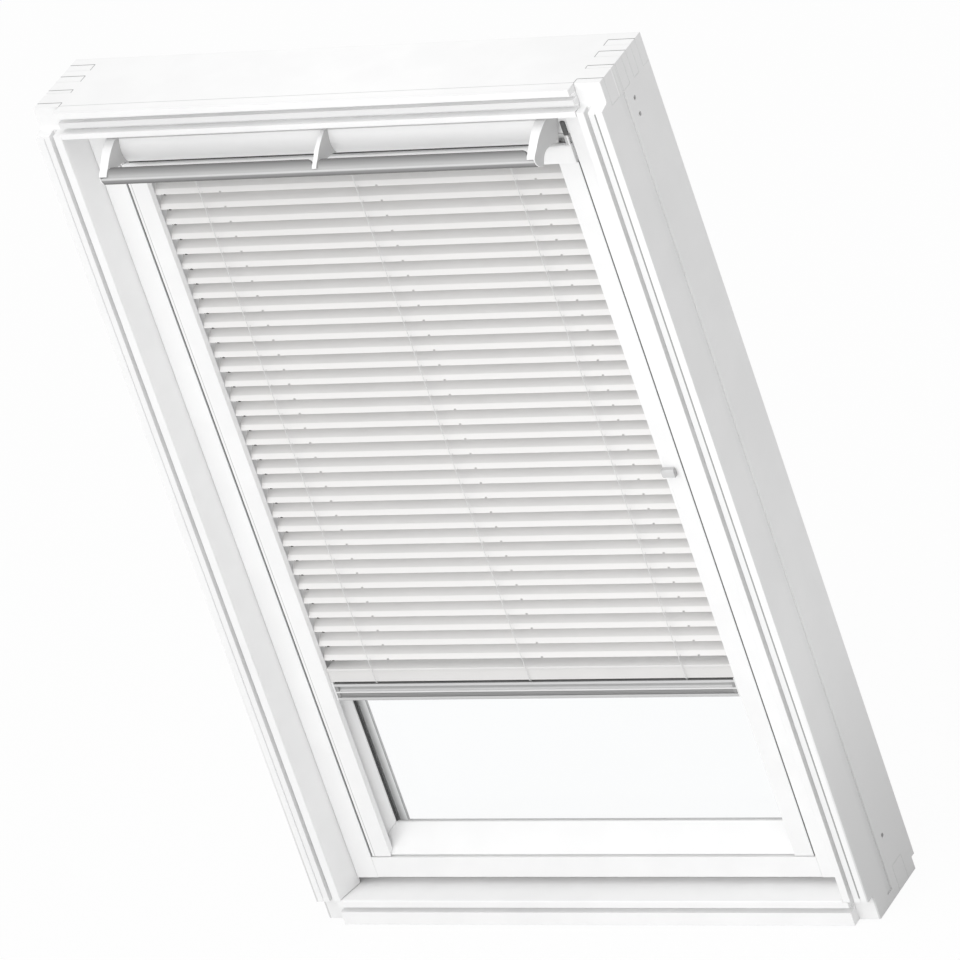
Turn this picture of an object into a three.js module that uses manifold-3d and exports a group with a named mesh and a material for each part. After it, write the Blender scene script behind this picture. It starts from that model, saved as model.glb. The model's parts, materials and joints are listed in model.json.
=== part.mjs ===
import * as THREE from 'three';
import { mergeVertices } from 'three/addons/utils/BufferGeometryUtils.js';
import Module from 'manifold-3d';

// A centre-pivot roof window with a venetian blind in its sash, seen from the room side.
// Millimetres. X runs to the right as seen from the room, Y towards the outside, Z up the window.
// The origin is the middle of the foot of the whole part.

const wasm = await Module();
wasm.setup();

// Driving dimensions of the frame
const frameWidth = 780;
const frameHeight = 1178;
const frameDepth = 128.6;
const jambWidth = 35.2;
const headHeight = 37;
const sillHeight = 36;
const barProud = 30;

// Fits
const seatGap = 0.3;
const sashClearance = 10.2;
const cutOverrun = 5;
const weldTolerance = 1e-4;

// Front of the jambs: a fine scored line, then the lining groove
const scoreLinePlace = 10.1;
const scoreLineWidth = 1.2;
const scoreLineDepth = 1;
const liningGrooveDepth = 12;
const jambGrooveStart = 18.9;
const jambGrooveWidth = 5.9;
const lipRound = 1.5;

// Front of the head and sill, measured from their outer faces
const headGrooveStart = 8.4;
const headGrooveWidth = 7.2;
const headBandWidth = 7.4;
const headBandDepth = 4;
const headLipWidth = 8.1;
const sillGrooveStart = 18.5;
const sillGrooveWidth = 7.2;

// Corner pockets and finger joints
const topPocketDepth = 15.8;
const topPocketHeight = 31;
const topPocketFootRise = 2;
const topPocketScoop = 4;
const bottomPocketDepth = 14;
const bottomPocketHeight = 34.5;
const sillFrontLap = 6;
const firstHeadFingerStart = 25.7;
const firstHeadFingerEnd = 48.8;
const secondHeadFingerStart = 55.6;
const secondHeadFingerEnd = 74.6;
const thirdHeadFingerStart = 87.6;
const thirdHeadFingerEnd = 100.5;
const lastHeadFingerStart = 113.7;
const sillFingerStart = 74;
const sillFingerEnd = 100;
const jambHeelStart = 121;
const jambHeelRise = 17;

// Side groove and screw holes of the jambs
const sideGrooveStart = 45;
const sideGrooveWidth = 13.5;
const sideGrooveDepth = 2;
const sideGrooveTopEnd = 38;
const sideGrooveFootEnd = 13;
const screwHoleRadius = 3;
const screwHoleDepth = 4;
const screwHoleDepthPlace = 75.5;
const screwHoleTopPlace = 56.8;
const screwHoleFootPlace = 80.7;
const screwHolePairPitch = 21.7;

// Sash
const sashFrontDepth = 36;
const sashFaceWidth = 30;
const bevelWidth = 32;
const bevelRun = 31;
const paneOverlap = 16;
const sashRound = 1.2;
const sealGrooveWidth = 2.6;
const sealGrooveDepth = 8;

// Glazing
const paneThickness = 4;
const spacerDepth = 16;
const spacerWidth = 13;
const spacerInset = 8;
const gasketDepth = 4;
const paneEdgeGap = 2;

// Outside cover of the sash
const coverThickness = 7;
const coverSetback = 1;

// Pivot
const pivotPlateHeight = 110;
const pivotPlateWidth = 24;
const pivotPlateThickness = 3;
const pivotPinRadius = 7;
const pivotPinReach = 15;
const pivotBoreGap = 0.3;

// Ventilation flap and its bead hinge in the sash top rail
const flapBeadRadius = 4;
const flapBeadBelowTop = 8.5;
const flapBeadProud = 1;
const flapReach = 19.7;
const flapDrop = 26.9;

// Control bar
const barHeight = 22;
const barDepth = 8;
const barFootBelowHinge = 30.3;
const barNotchHeight = 12.5;
const barNotchRound = 7;
const barEndWall = 1.5;

// Control arms
const armThickness = 10.5;
const armSideInset = 44.6;
const armSpread = 5.2;
const middleArmThickness = 6;
const armDrop = 34.3;
const armFrontInset = 0.4;

// Headrail of the blind
const headrailFrontDepth = 35;
const headrailDepth = 33;
const headrailHeight = 25;
const headrailWall = 1.5;
const headrailRound = 3;
const headrailTopBelowHead = 56;
const headrailSideInset = 34;

// Slats
const slatCount = 33;
const slatPitch = 20.95;
const slatWidth = 25;
const slatThickness = 0.6;
const slatCrown = 1.6;
const slatArcSteps = 7;
const slatAxisDepth = 52;
const slatRestTilt = 38;
const firstSlatDrop = 15.2;
const cordNotchWidth = 3;
const cordNotchDepth = 1.6;
const cordNotchOffset = 25;
const guideNotchInset = 21;

// Cord ladders
const ladderEndInset = 66;
const ladderCordRadius = 0.6;
const ladderSideGap = 0.5;
const ladderBend = 1.4;
const ladderSides = 8;
const ladderBendSteps = 3;
const ladderTopReach = 5;

// Bottom rail of the blind
const bottomRailHeight = 47;
const bottomRailDepth = 24;
const bottomRailDrop = 7.9;
const gripGrooveDepth = 2.5;
const gripGrooveHeight = 4;
const gripRidge = 2.4;
const gripStart = 3;
const gripGrooveCount = 3;
const fasciaGap = 2.5;
const fasciaGapPlace = 27;
const fasciaTop = 43.5;
const fasciaRecess = 1.5;

// Side channels
const channelWidth = 26.4;
const channelWall = 1.2;
const channelSideInset = 32.4;
const channelLegInset = 6;
const channelGuideLean = 1.5;
const channelFrontDepth = 36.8;
const channelFootGap = 1.2;

// Tilt knob
const knobWidth = 18;
const knobHeight = 11.4;
const knobThickness = 7;
const knobBelowHeadrail = 428.2;
const knobOverhang = 0.4;
const knobClipWidth = 6;
const knobClipThickness = 2;
const knobNeck = 2.4;
const knobSlotInset = 5;
const knobTravelUp = 16;
const knobTravelDown = 48;
const knobRound = 2.5;

// Places worked out from the sizes
const frontY = (barProud - frameDepth) / 2;
const halfWidth = frameWidth / 2;
const depthAt = (depth) => frontY + depth;
const sashHalfWidth = halfWidth - jambWidth - sashClearance;
const sashBottom = sillHeight + sashClearance;
const sashTop = frameHeight - headHeight - sashClearance;
const sashMiddle = (sashBottom + sashTop) / 2;
const sightWidth = sashFaceWidth + bevelWidth;
const glassSeat = sashFrontDepth + bevelRun;
const paneFront = glassSeat + gasketDepth;
const paneEdge = sightWidth - paneOverlap;
const glazingDepth = 2 * paneThickness + spacerDepth;
const sashDepth = glassSeat + gasketDepth + glazingDepth - sashFrontDepth;
const pivotDepth = sashFrontDepth + sashDepth / 2;

// Materials
const paint = (color, roughness) => new THREE.MeshStandardMaterial({ color, roughness, metalness: 0 });
const whiteLacquer = paint(0xf4f4f2, 0.38);
const whitePlastic = paint(0xf2f2f0, 0.45);
const slatWhite = paint(0xeeece8, 0.4);
const cordWhite = paint(0xe6e2de, 0.9);
const knobGrey = paint(0xd5d8d8, 0.3);
const aluminium = new THREE.MeshStandardMaterial({ color: 0xb9bdbb, roughness: 0.32, metalness: 0.9 });
const spacerMetal = new THREE.MeshStandardMaterial({ color: 0x8c8e90, roughness: 0.4, metalness: 0.8 });
const steel = new THREE.MeshStandardMaterial({ color: 0xa7a9ab, roughness: 0.35, metalness: 1 });
const coverGrey = new THREE.MeshStandardMaterial({ color: 0x5b6063, roughness: 0.5, metalness: 0.6 });
const glass = new THREE.MeshStandardMaterial({
  color: 0xe9f3f4,
  roughness: 0.05,
  metalness: 0,
  transparent: true,
  opacity: 0.3,
});

// Solid helpers
function toSolid(geometry) {
  const bare = new THREE.BufferGeometry();
  bare.setAttribute('position', geometry.getAttribute('position').clone());
  if (geometry.index) {
    bare.setIndex(geometry.index.clone());
  }
  const merged = mergeVertices(bare, weldTolerance);
  const mesh = new wasm.Mesh({
    numProp: 3,
    vertProperties: new Float32Array(merged.getAttribute('position').array),
    triVerts: new Uint32Array(merged.index.array),
  });
  return new wasm.Manifold(mesh);
}

function toGeometry(solid) {
  const mesh = solid.getMesh();
  const geometry = new THREE.BufferGeometry();
  geometry.setAttribute('position', new THREE.BufferAttribute(new Float32Array(mesh.vertProperties), 3));
  geometry.setIndex(new THREE.BufferAttribute(new Uint32Array(mesh.triVerts), 1));
  return geometry;
}

function cutAway(geometry, cutters) {
  let solid = toSolid(geometry);
  for (const cutter of cutters) {
    solid = solid.subtract(toSolid(cutter));
  }
  return toGeometry(solid);
}

function joinAll(geometries) {
  let solid = toSolid(geometries[0]);
  for (const geometry of geometries.slice(1)) {
    solid = solid.add(toSolid(geometry));
  }
  return toGeometry(solid);
}

function shapeOf(points) {
  return new THREE.Shape(points.map(([a, b]) => new THREE.Vector2(a, b)));
}

// A profile in X and Y, extruded up from low to high
function prismZ(points, low, high) {
  const geometry = new THREE.ExtrudeGeometry(shapeOf(points), { depth: high - low, bevelEnabled: false });
  geometry.translate(0, 0, low);
  return geometry;
}

// A profile in Y and Z, extruded along X from low to high
function prismX(points, low, high) {
  const geometry = new THREE.ExtrudeGeometry(shapeOf(points), { depth: high - low, bevelEnabled: false });
  const turn = new THREE.Matrix4().makeBasis(
    new THREE.Vector3(0, 1, 0),
    new THREE.Vector3(0, 0, 1),
    new THREE.Vector3(1, 0, 0),
  );
  geometry.applyMatrix4(turn);
  geometry.translate(low, 0, 0);
  return geometry;
}

// A profile in X and Z, extruded along Y from low to high
function prismY(points, low, high) {
  const geometry = new THREE.ExtrudeGeometry(shapeOf(points), { depth: high - low, bevelEnabled: false });
  const turn = new THREE.Matrix4().makeBasis(
    new THREE.Vector3(1, 0, 0),
    new THREE.Vector3(0, 0, 1),
    new THREE.Vector3(0, -1, 0),
  );
  geometry.applyMatrix4(turn);
  geometry.translate(0, high, 0);
  return geometry;
}

function box(lowX, highX, lowY, highY, lowZ, highZ) {
  const geometry = new THREE.BoxGeometry(highX - lowX, highY - lowY, highZ - lowZ);
  geometry.translate((lowX + highX) / 2, (lowY + highY) / 2, (lowZ + highZ) / 2);
  return geometry;
}

// A round pin along X
function pinX(radius, lowX, highX, y, z, sides) {
  const geometry = new THREE.CylinderGeometry(radius, radius, highX - lowX, sides);
  geometry.rotateZ(Math.PI / 2);
  geometry.translate((lowX + highX) / 2, y, z);
  return geometry;
}

// The same piece on the other side of the middle plane
function mirrored(geometry) {
  const copy = geometry.clone();
  if (!copy.index) {
    copy.setIndex([...Array(copy.getAttribute('position').count).keys()]);
  }
  copy.scale(-1, 1, 1);
  const index = copy.index.array;
  for (let i = 0; i < index.length; i += 3) {
    const swap = index[i];
    index[i] = index[i + 1];
    index[i + 1] = swap;
  }
  return copy;
}

const root = new THREE.Group();

function addPiece(parent, name, geometry, material) {
  const mesh = new THREE.Mesh(geometry, material);
  mesh.name = name;
  parent.add(mesh);
  return mesh;
}

// Points of a quarter round from one direction to the next, in steps
function roundCorner(centreA, centreB, radius, startAngle, endAngle, steps) {
  const points = [];
  for (let i = 0; i <= steps; i += 1) {
    const angle = THREE.MathUtils.degToRad(startAngle + ((endAngle - startAngle) * i) / steps);
    points.push([centreA + radius * Math.cos(angle), centreB + radius * Math.sin(angle)]);
  }
  return points;
}

const roundSteps = 4;
const pinSides = 24;
const quarterTurn = 90;

// Frame

// Outline of a jamb: distance in from its outer face, depth from the front of the frame
const jambOutline = [
  [0, 0],
  [scoreLinePlace - scoreLineWidth / 2, 0],
  [scoreLinePlace, scoreLineDepth],
  [scoreLinePlace + scoreLineWidth / 2, 0],
  [jambGrooveStart, 0],
  [jambGrooveStart, liningGrooveDepth],
  [jambGrooveStart + jambGrooveWidth, liningGrooveDepth],
  [jambGrooveStart + jambGrooveWidth, 0],
  ...roundCorner(jambWidth - lipRound, lipRound, lipRound, -quarterTurn, 0, roundSteps),
  [jambWidth, frameDepth],
  [0, frameDepth],
];

// Depths between which the head reaches through the jambs
const headFingers = [
  [firstHeadFingerStart, firstHeadFingerEnd],
  [secondHeadFingerStart, secondHeadFingerEnd],
  [thirdHeadFingerStart, thirdHeadFingerEnd],
  [lastHeadFingerStart, frameDepth],
];

function makeRightJamb() {
  const inner = halfWidth - jambWidth;
  const headLine = frameHeight - headHeight;
  const front = depthAt(0);
  const back = depthAt(frameDepth);
  const outline = jambOutline.map(([u, depth]) => [halfWidth - u, depthAt(depth)]);
  const body = prismZ(outline, 0, frameHeight);
  const cutters = [];
  // Slots for the fingers of the head
  for (const [start, end] of headFingers) {
    const slotEnd = end === frameDepth ? frameDepth + cutOverrun : end + seatGap;
    cutters.push(box(inner - cutOverrun, halfWidth + cutOverrun, depthAt(start) - seatGap,
      depthAt(slotEnd), headLine - seatGap, frameHeight + cutOverrun));
  }
  // Slot for the finger of the sill, and the raised heel of the jamb
  cutters.push(box(inner - cutOverrun, halfWidth + cutOverrun, depthAt(sillFingerStart) - seatGap,
    depthAt(sillFingerEnd) + seatGap, -cutOverrun, sillHeight + seatGap));
  cutters.push(box(inner - cutOverrun, halfWidth + cutOverrun, depthAt(jambHeelStart),
    back + cutOverrun, -cutOverrun, jambHeelRise));
  // Pocket at the top with its scooped foot, square pocket at the bottom
  const pocketFoot = frameHeight - topPocketHeight;
  const scoop = roundCorner(depthAt(topPocketDepth) - topPocketScoop,
    pocketFoot + topPocketFootRise + topPocketScoop, topPocketScoop, -quarterTurn, 0, roundSteps);
  const topPocket = [
    [front - cutOverrun, pocketFoot],
    [front, pocketFoot],
    ...scoop,
    [depthAt(topPocketDepth), frameHeight + cutOverrun],
    [front - cutOverrun, frameHeight + cutOverrun],
  ];
  cutters.push(prismX(topPocket, inner - cutOverrun, halfWidth + cutOverrun));
  cutters.push(box(inner - cutOverrun, halfWidth + cutOverrun, front - cutOverrun,
    depthAt(bottomPocketDepth), -cutOverrun, bottomPocketHeight));
  // Groove along the outer side
  cutters.push(box(halfWidth - sideGrooveDepth, halfWidth + cutOverrun, depthAt(sideGrooveStart),
    depthAt(sideGrooveStart + sideGrooveWidth), sideGrooveFootEnd, frameHeight - sideGrooveTopEnd));
  // Screw holes in the outer side
  const holeDepth = depthAt(screwHoleDepthPlace);
  const holeHeights = [
    screwHoleFootPlace,
    frameHeight - screwHoleTopPlace,
    frameHeight - screwHoleTopPlace - screwHolePairPitch,
  ];
  for (const height of holeHeights) {
    cutters.push(pinX(screwHoleRadius, halfWidth - screwHoleDepth, halfWidth + cutOverrun,
      holeDepth, height, pinSides / 2));
  }
  // Seat of the pivot plate in the inner face
  cutters.push(box(inner - cutOverrun, inner + pivotPlateThickness + seatGap,
    depthAt(pivotDepth) - pivotPlateWidth / 2 - seatGap, depthAt(pivotDepth) + pivotPlateWidth / 2 + seatGap,
    sashMiddle - pivotPlateHeight / 2 - seatGap, sashMiddle + pivotPlateHeight / 2 + seatGap));
  return cutAway(body, cutters);
}

function makeHead() {
  const top = frameHeight;
  const bandStart = headGrooveStart + headGrooveWidth;
  const secondGroove = bandStart + headBandWidth;
  const lipStart = headHeight - headLipWidth;
  const outline = [
    [0, 0],
    [headGrooveStart, 0],
    [headGrooveStart, liningGrooveDepth],
    [bandStart, liningGrooveDepth],
    [bandStart, headBandDepth],
    [secondGroove, headBandDepth],
    [secondGroove, liningGrooveDepth],
    [lipStart, liningGrooveDepth],
    [lipStart, 0],
    ...roundCorner(headHeight - lipRound, lipRound, lipRound, -quarterTurn, 0, roundSteps),
    [headHeight, frameDepth],
    [0, frameDepth],
  ].map(([drop, depth]) => [depthAt(depth), top - drop]);
  const body = prismX(outline, -halfWidth, halfWidth);
  const shoulder = halfWidth - jambWidth - seatGap;
  const cutters = [];
  for (const side of [-1, 1]) {
    const edges = [side * shoulder, side * (halfWidth + cutOverrun)].sort((a, b) => a - b);
    let clearFrom = -cutOverrun;
    for (const [start, end] of headFingers) {
      cutters.push(box(edges[0], edges[1], depthAt(clearFrom), depthAt(start),
        frameHeight - headHeight - cutOverrun, frameHeight + cutOverrun));
      clearFrom = end;
    }
  }
  return cutAway(body, cutters);
}

function makeSill() {
  const outline = [
    [0, 0],
    [sillGrooveStart, 0],
    [sillGrooveStart, liningGrooveDepth],
    [sillGrooveStart + sillGrooveWidth, liningGrooveDepth],
    [sillGrooveStart + sillGrooveWidth, 0],
    ...roundCorner(sillHeight - lipRound, lipRound, lipRound, -quarterTurn, 0, roundSteps),
    [sillHeight, frameDepth],
    [0, frameDepth],
  ].map(([rise, depth]) => [depthAt(depth), rise]);
  const body = prismX(outline, -halfWidth, halfWidth);
  const inner = halfWidth - jambWidth;
  const lap = inner + sillFrontLap;
  const shoulder = inner - seatGap;
  const far = halfWidth + cutOverrun;
  const lapDepth = depthAt(bottomPocketDepth) - seatGap;
  const cutters = [];
  for (const side of [-1, 1]) {
    const edges = [side * shoulder, side * far].sort((a, b) => a - b);
    const frontEdges = [side * lap, side * far].sort((a, b) => a - b);
    cutters.push(box(frontEdges[0], frontEdges[1], depthAt(-cutOverrun), lapDepth,
      -cutOverrun, sillHeight + cutOverrun));
    cutters.push(box(edges[0], edges[1], depthAt(-cutOverrun), lapDepth,
      bottomPocketHeight - seatGap, sillHeight + cutOverrun));
    cutters.push(box(edges[0], edges[1], lapDepth, depthAt(sillFingerStart),
      -cutOverrun, sillHeight + cutOverrun));
    cutters.push(box(edges[0], edges[1], depthAt(sillFingerEnd), depthAt(frameDepth + cutOverrun),
      -cutOverrun, sillHeight + cutOverrun));
  }
  return cutAway(body, cutters);
}

const rightJamb = makeRightJamb();
addPiece(root, 'frame_jamb_right', rightJamb, whiteLacquer);
addPiece(root, 'frame_jamb_left', mirrored(rightJamb), whiteLacquer);
addPiece(root, 'frame_head', makeHead(), whiteLacquer);
addPiece(root, 'frame_sill', makeSill(), whiteLacquer);

// Pivot plates let into the jambs, each with a pin that the sash turns on
function makeRightPivot() {
  const inner = halfWidth - jambWidth;
  const y = depthAt(pivotDepth);
  const plate = box(inner, inner + pivotPlateThickness, y - pivotPlateWidth / 2, y + pivotPlateWidth / 2,
    sashMiddle - pivotPlateHeight / 2, sashMiddle + pivotPlateHeight / 2);
  const pin = pinX(pivotPinRadius, inner - sashClearance - pivotPinReach, inner + pivotPlateThickness / 2,
    y, sashMiddle, pinSides);
  return joinAll([plate, pin]);
}

const rightPivot = makeRightPivot();
addPiece(root, 'pivot_plate_right', rightPivot, steel);
addPiece(root, 'pivot_plate_left', mirrored(rightPivot), steel);

// Sash

const sash = new THREE.Group();
root.add(sash);

// Hinge line of the ventilation flap, in the front of the top rail
const flapAxisDepth = sashFrontDepth - flapBeadProud;
const flapAxisHeight = sashTop - flapBeadBelowTop;
const armOutside = sashHalfWidth - armSideInset;
const armInside = armOutside - armThickness;
const flapHalfLength = armInside - seatGap;

// Depth of the bevelled inside of the sash at a distance in from its outer face
const bevelDepthAt = (inset) => sashFrontDepth + ((inset - sashFaceWidth) * bevelRun) / bevelWidth;
const bevelInsetAt = (depth) => sashFaceWidth + ((depth - sashFrontDepth) * bevelWidth) / bevelRun;

// Outline of a sash member: distance in from its outer face, depth from the front of the frame
const sashOutline = [
  ...roundCorner(sashRound, sashFrontDepth + sashRound, sashRound, 2 * quarterTurn, 3 * quarterTurn, roundSteps),
  [sashFaceWidth, sashFrontDepth],
  [sashFaceWidth, sashFrontDepth + sealGrooveDepth],
  [sashFaceWidth + sealGrooveWidth, sashFrontDepth + sealGrooveDepth],
  [sashFaceWidth + sealGrooveWidth, bevelDepthAt(sashFaceWidth + sealGrooveWidth)],
  [sightWidth, glassSeat],
  [sightWidth, glassSeat + gasketDepth - seatGap],
  [paneEdge, glassSeat + gasketDepth - seatGap],
  [paneEdge, sashFrontDepth + sashDepth],
  [0, sashFrontDepth + sashDepth],
];

function makeRightStile() {
  const outline = sashOutline.map(([u, depth]) => [sashHalfWidth - u, depthAt(depth)]);
  const body = prismZ(outline, sashBottom, sashTop);
  const reach = sightWidth + cutOverrun;
  const cope = [
    [sashFaceWidth, -cutOverrun],
    [reach, -cutOverrun],
    [reach, reach],
    [sashFaceWidth, sashFaceWidth],
  ];
  const low = cope.map(([u, w]) => [sashHalfWidth - u, sashBottom + w]);
  const high = cope.map(([u, w]) => [sashHalfWidth - u, sashTop - w]);
  const front = depthAt(sashFrontDepth) - cutOverrun;
  const back = depthAt(sashFrontDepth + sashDepth) + cutOverrun;
  const bore = pinX(pivotPinRadius + pivotBoreGap, sashHalfWidth - pivotPinReach - seatGap,
    sashHalfWidth + cutOverrun, depthAt(pivotDepth), sashMiddle, pinSides);
  return cutAway(body, [prismY(low, front, back), prismY(high, front, back), bore]);
}

// A rail between the stiles, drawn for the bottom; flip it for the top
function makeRailSolid(extraCutters) {
  const outline = sashOutline.map(([w, depth]) => [depthAt(depth), sashBottom + w]);
  const body = prismX(outline, -sashHalfWidth, sashHalfWidth);
  const reach = sightWidth + cutOverrun;
  const inset = sashFaceWidth + seatGap;
  const cope = [
    [-cutOverrun, -cutOverrun],
    [inset, -cutOverrun],
    [inset, inset - seatGap],
    [reach + seatGap, reach],
    [-cutOverrun, reach],
  ];
  const front = depthAt(sashFrontDepth) - cutOverrun;
  const back = depthAt(sashFrontDepth + sashDepth) + cutOverrun;
  const right = cope.map(([u, w]) => [sashHalfWidth - u, sashBottom + w]);
  const left = cope.map(([u, w]) => [u - sashHalfWidth, sashBottom + w]);
  return cutAway(body, [prismY(right, front, back), prismY(left, front, back), ...extraCutters]);
}

function makeTopRail() {
  const bottomRail = makeRailSolid([]);
  const flipped = bottomRail.clone();
  flipped.scale(1, 1, -1);
  flipped.translate(0, 0, sashBottom + sashTop);
  const index = flipped.index.array;
  for (let i = 0; i < index.length; i += 3) {
    const swap = index[i];
    index[i] = index[i + 1];
    index[i + 1] = swap;
  }
  const socket = pinX(flapBeadRadius + seatGap, -flapHalfLength - seatGap, flapHalfLength + seatGap,
    depthAt(flapAxisDepth), flapAxisHeight, pinSides);
  return cutAway(flipped, [socket]);
}

const rightStile = makeRightStile();
addPiece(sash, 'sash_stile_right', rightStile, whiteLacquer);
addPiece(sash, 'sash_stile_left', mirrored(rightStile), whiteLacquer);
addPiece(sash, 'sash_bottom_rail', makeRailSolid([]), whiteLacquer);
addPiece(sash, 'sash_top_rail', makeTopRail(), whiteLacquer);

// Glazing: two panes with a spacer bar between them
function rectangle(halfX, lowZ, highZ) {
  return [[-halfX, lowZ], [halfX, lowZ], [halfX, highZ], [-halfX, highZ]];
}

function ringY(outerPoints, innerPoints, low, high) {
  const shape = shapeOf(outerPoints);
  shape.holes.push(new THREE.Path(innerPoints.map(([a, b]) => new THREE.Vector2(a, b))));
  const geometry = new THREE.ExtrudeGeometry(shape, { depth: high - low, bevelEnabled: false });
  const turn = new THREE.Matrix4().makeBasis(
    new THREE.Vector3(1, 0, 0),
    new THREE.Vector3(0, 0, 1),
    new THREE.Vector3(0, -1, 0),
  );
  geometry.applyMatrix4(turn);
  geometry.translate(0, high, 0);
  return geometry;
}

const paneInset = paneEdge + paneEdgeGap;
const paneHalfX = sashHalfWidth - paneInset;
const paneBottom = sashBottom + paneInset;
const paneTop = sashTop - paneInset;
const outerPaneFront = paneFront + paneThickness + spacerDepth;

function makePane(front) {
  return prismY(rectangle(paneHalfX, paneBottom, paneTop), depthAt(front), depthAt(front + paneThickness));
}

addPiece(sash, 'glass_inner_pane', makePane(paneFront), glass);
addPiece(sash, 'glass_outer_pane', makePane(outerPaneFront), glass);

const spacerOutside = paneInset + spacerInset;
const spacerInside = spacerOutside + spacerWidth;
const spacerRing = ringY(
  rectangle(sashHalfWidth - spacerOutside, sashBottom + spacerOutside, sashTop - spacerOutside),
  rectangle(sashHalfWidth - spacerInside, sashBottom + spacerInside, sashTop - spacerInside),
  depthAt(paneFront + paneThickness + seatGap),
  depthAt(outerPaneFront - seatGap),
);
addPiece(sash, 'glass_spacer', spacerRing, spacerMetal);

// Outside cover that holds the glazing in the sash
const coverFront = sashFrontDepth + sashDepth + seatGap;
const coverInside = sightWidth;
const coverRing = ringY(
  rectangle(sashHalfWidth - coverSetback, sashBottom + coverSetback, sashTop - coverSetback),
  rectangle(sashHalfWidth - coverInside, sashBottom + coverInside, sashTop - coverInside),
  depthAt(coverFront),
  depthAt(coverFront + coverThickness),
);
addPiece(sash, 'sash_outside_cover', coverRing, coverGrey);

// Ventilation flap with its control bar and arms
const flap = new THREE.Group();
sash.add(flap);

// Front and back of the flap, as shares of its reach in front of the hinge and of its drop below it
const flapFrontShares = [
  [0.05, -0.27],
  [0.75, -0.27],
  [0.83, -0.25],
  [0.94, 0.01],
  [1, 0.31],
  [0.985, 0.48],
  [0.89, 0.77],
  [0.71, 0.94],
  [0.66, 1],
];
const flapBackShares = [
  [0.6, 0.97],
  [0.62, 0.9],
  [0.78, 0.72],
  [0.87, 0.47],
  [0.88, 0.31],
  [0.83, 0.03],
  [0.74, -0.16],
  [0.3, -0.16],
  [0.05, -0.1],
];
const flapPlace = ([reach, drop]) => [
  depthAt(flapAxisDepth - reach * flapReach),
  flapAxisHeight - drop * flapDrop,
];

function makeFlap() {
  const panel = prismX([...flapFrontShares, ...flapBackShares].map(flapPlace), -flapHalfLength, flapHalfLength);
  const bead = pinX(flapBeadRadius, -flapHalfLength, flapHalfLength,
    depthAt(flapAxisDepth), flapAxisHeight, pinSides);
  return joinAll([bead, panel]);
}

addPiece(flap, 'vent_flap', makeFlap(), whiteLacquer);

// Section of the control bar, as shares of its depth from the front and of its height
const barFoot = flapAxisHeight - barFootBelowHinge;
const barSectionShares = [
  [0.9, 0],
  [0.69, 0],
  [0.45, 0.05],
  [0.15, 0.25],
  [0, 0.37],
  [0, 0.45],
  [0.15, 0.5],
  [0.38, 0.6],
  [0.55, 0.74],
  [0.68, 0.88],
  [0.74, 0.97],
  [0.83, 1],
  [0.95, 1],
  [1, 0.94],
  [0.97, 0.8],
  [0.82, 0.62],
  [0.6, 0.5],
  [0.3, 0.4],
  [0.42, 0.25],
  [0.62, 0.12],
  [0.9, 0.08],
];
const barPlace = ([depth, height]) => [depthAt(depth * barDepth - barProud), barFoot + height * barHeight];
const barHalfLength = armOutside - barEndWall - seatGap;

function makeBar() {
  const bar = prismX(barSectionShares.map(barPlace), -barHalfLength, barHalfLength);
  const shoulder = barFoot + barNotchHeight;
  const top = barFoot + barHeight;
  const endEdge = armInside - seatGap;
  const far = barHalfLength + cutOverrun;
  const endCorner = roundCorner(endEdge - barNotchRound, top - barNotchRound, barNotchRound,
    0, quarterTurn, roundSteps);
  const endNotch = [
    [far, shoulder],
    [far, top + cutOverrun],
    [endEdge - barNotchRound, top + cutOverrun],
    ...endCorner.reverse(),
    [endEdge, shoulder],
  ];
  const middleEdge = middleArmThickness / 2 + seatGap;
  const middleCorner = roundCorner(middleEdge + barNotchRound, top - barNotchRound, barNotchRound,
    2 * quarterTurn, quarterTurn, roundSteps);
  const middleNotch = [
    [0, shoulder],
    [middleEdge, shoulder],
    ...middleCorner,
    [middleEdge + barNotchRound, top + cutOverrun],
    [0, top + cutOverrun],
  ];
  const low = depthAt(-barProud - cutOverrun);
  const high = depthAt(barDepth - barProud + cutOverrun);
  const cutters = [];
  for (const notch of [endNotch, middleNotch]) {
    const right = prismY(notch, low, high);
    cutters.push(right, mirrored(right));
  }
  return cutAway(bar, cutters);
}

addPiece(flap, 'control_bar', makeBar(), aluminium);

// Side of an arm, as shares of the reach from the hinge to the bar and of its drop below the hinge
const armReach = flapAxisDepth + barProud - armFrontInset;
const armShares = [
  [0, -0.24],
  [0.28, -0.28],
  [0.34, -0.29],
  [0.4, -0.26],
  [0.464, -0.21],
  [0.608, -0.08],
  [0.743, 0.09],
  [0.861, 0.28],
  [0.963, 0.42],
  [1, 0.5],
  [1, 0.66],
  [0.92, 0.883],
  [0.805, 1],
  [0.76, 0.87],
  [0.697, 0.708],
  [0.64, 0.64],
  [0.573, 0.6],
  [0.49, 0.61],
  [0.409, 0.625],
  [0.344, 0.65],
  [0.19, 0.775],
  [0, 0],
];

function makeArm(low, high) {
  const outline = armShares.map(([reach, drop]) => [
    depthAt(flapAxisDepth - reach * armReach),
    flapAxisHeight - drop * armDrop,
  ]);
  return prismX(outline, low, high);
}

// Room round the lower half of the bar for an arm behind it
function makeBarRoom(lowX, highX) {
  return box(lowX, highX, depthAt(-barProud) - cutOverrun, depthAt(barDepth - barProud) + seatGap,
    barFoot - cutOverrun, barFoot + barNotchHeight + seatGap);
}

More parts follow.
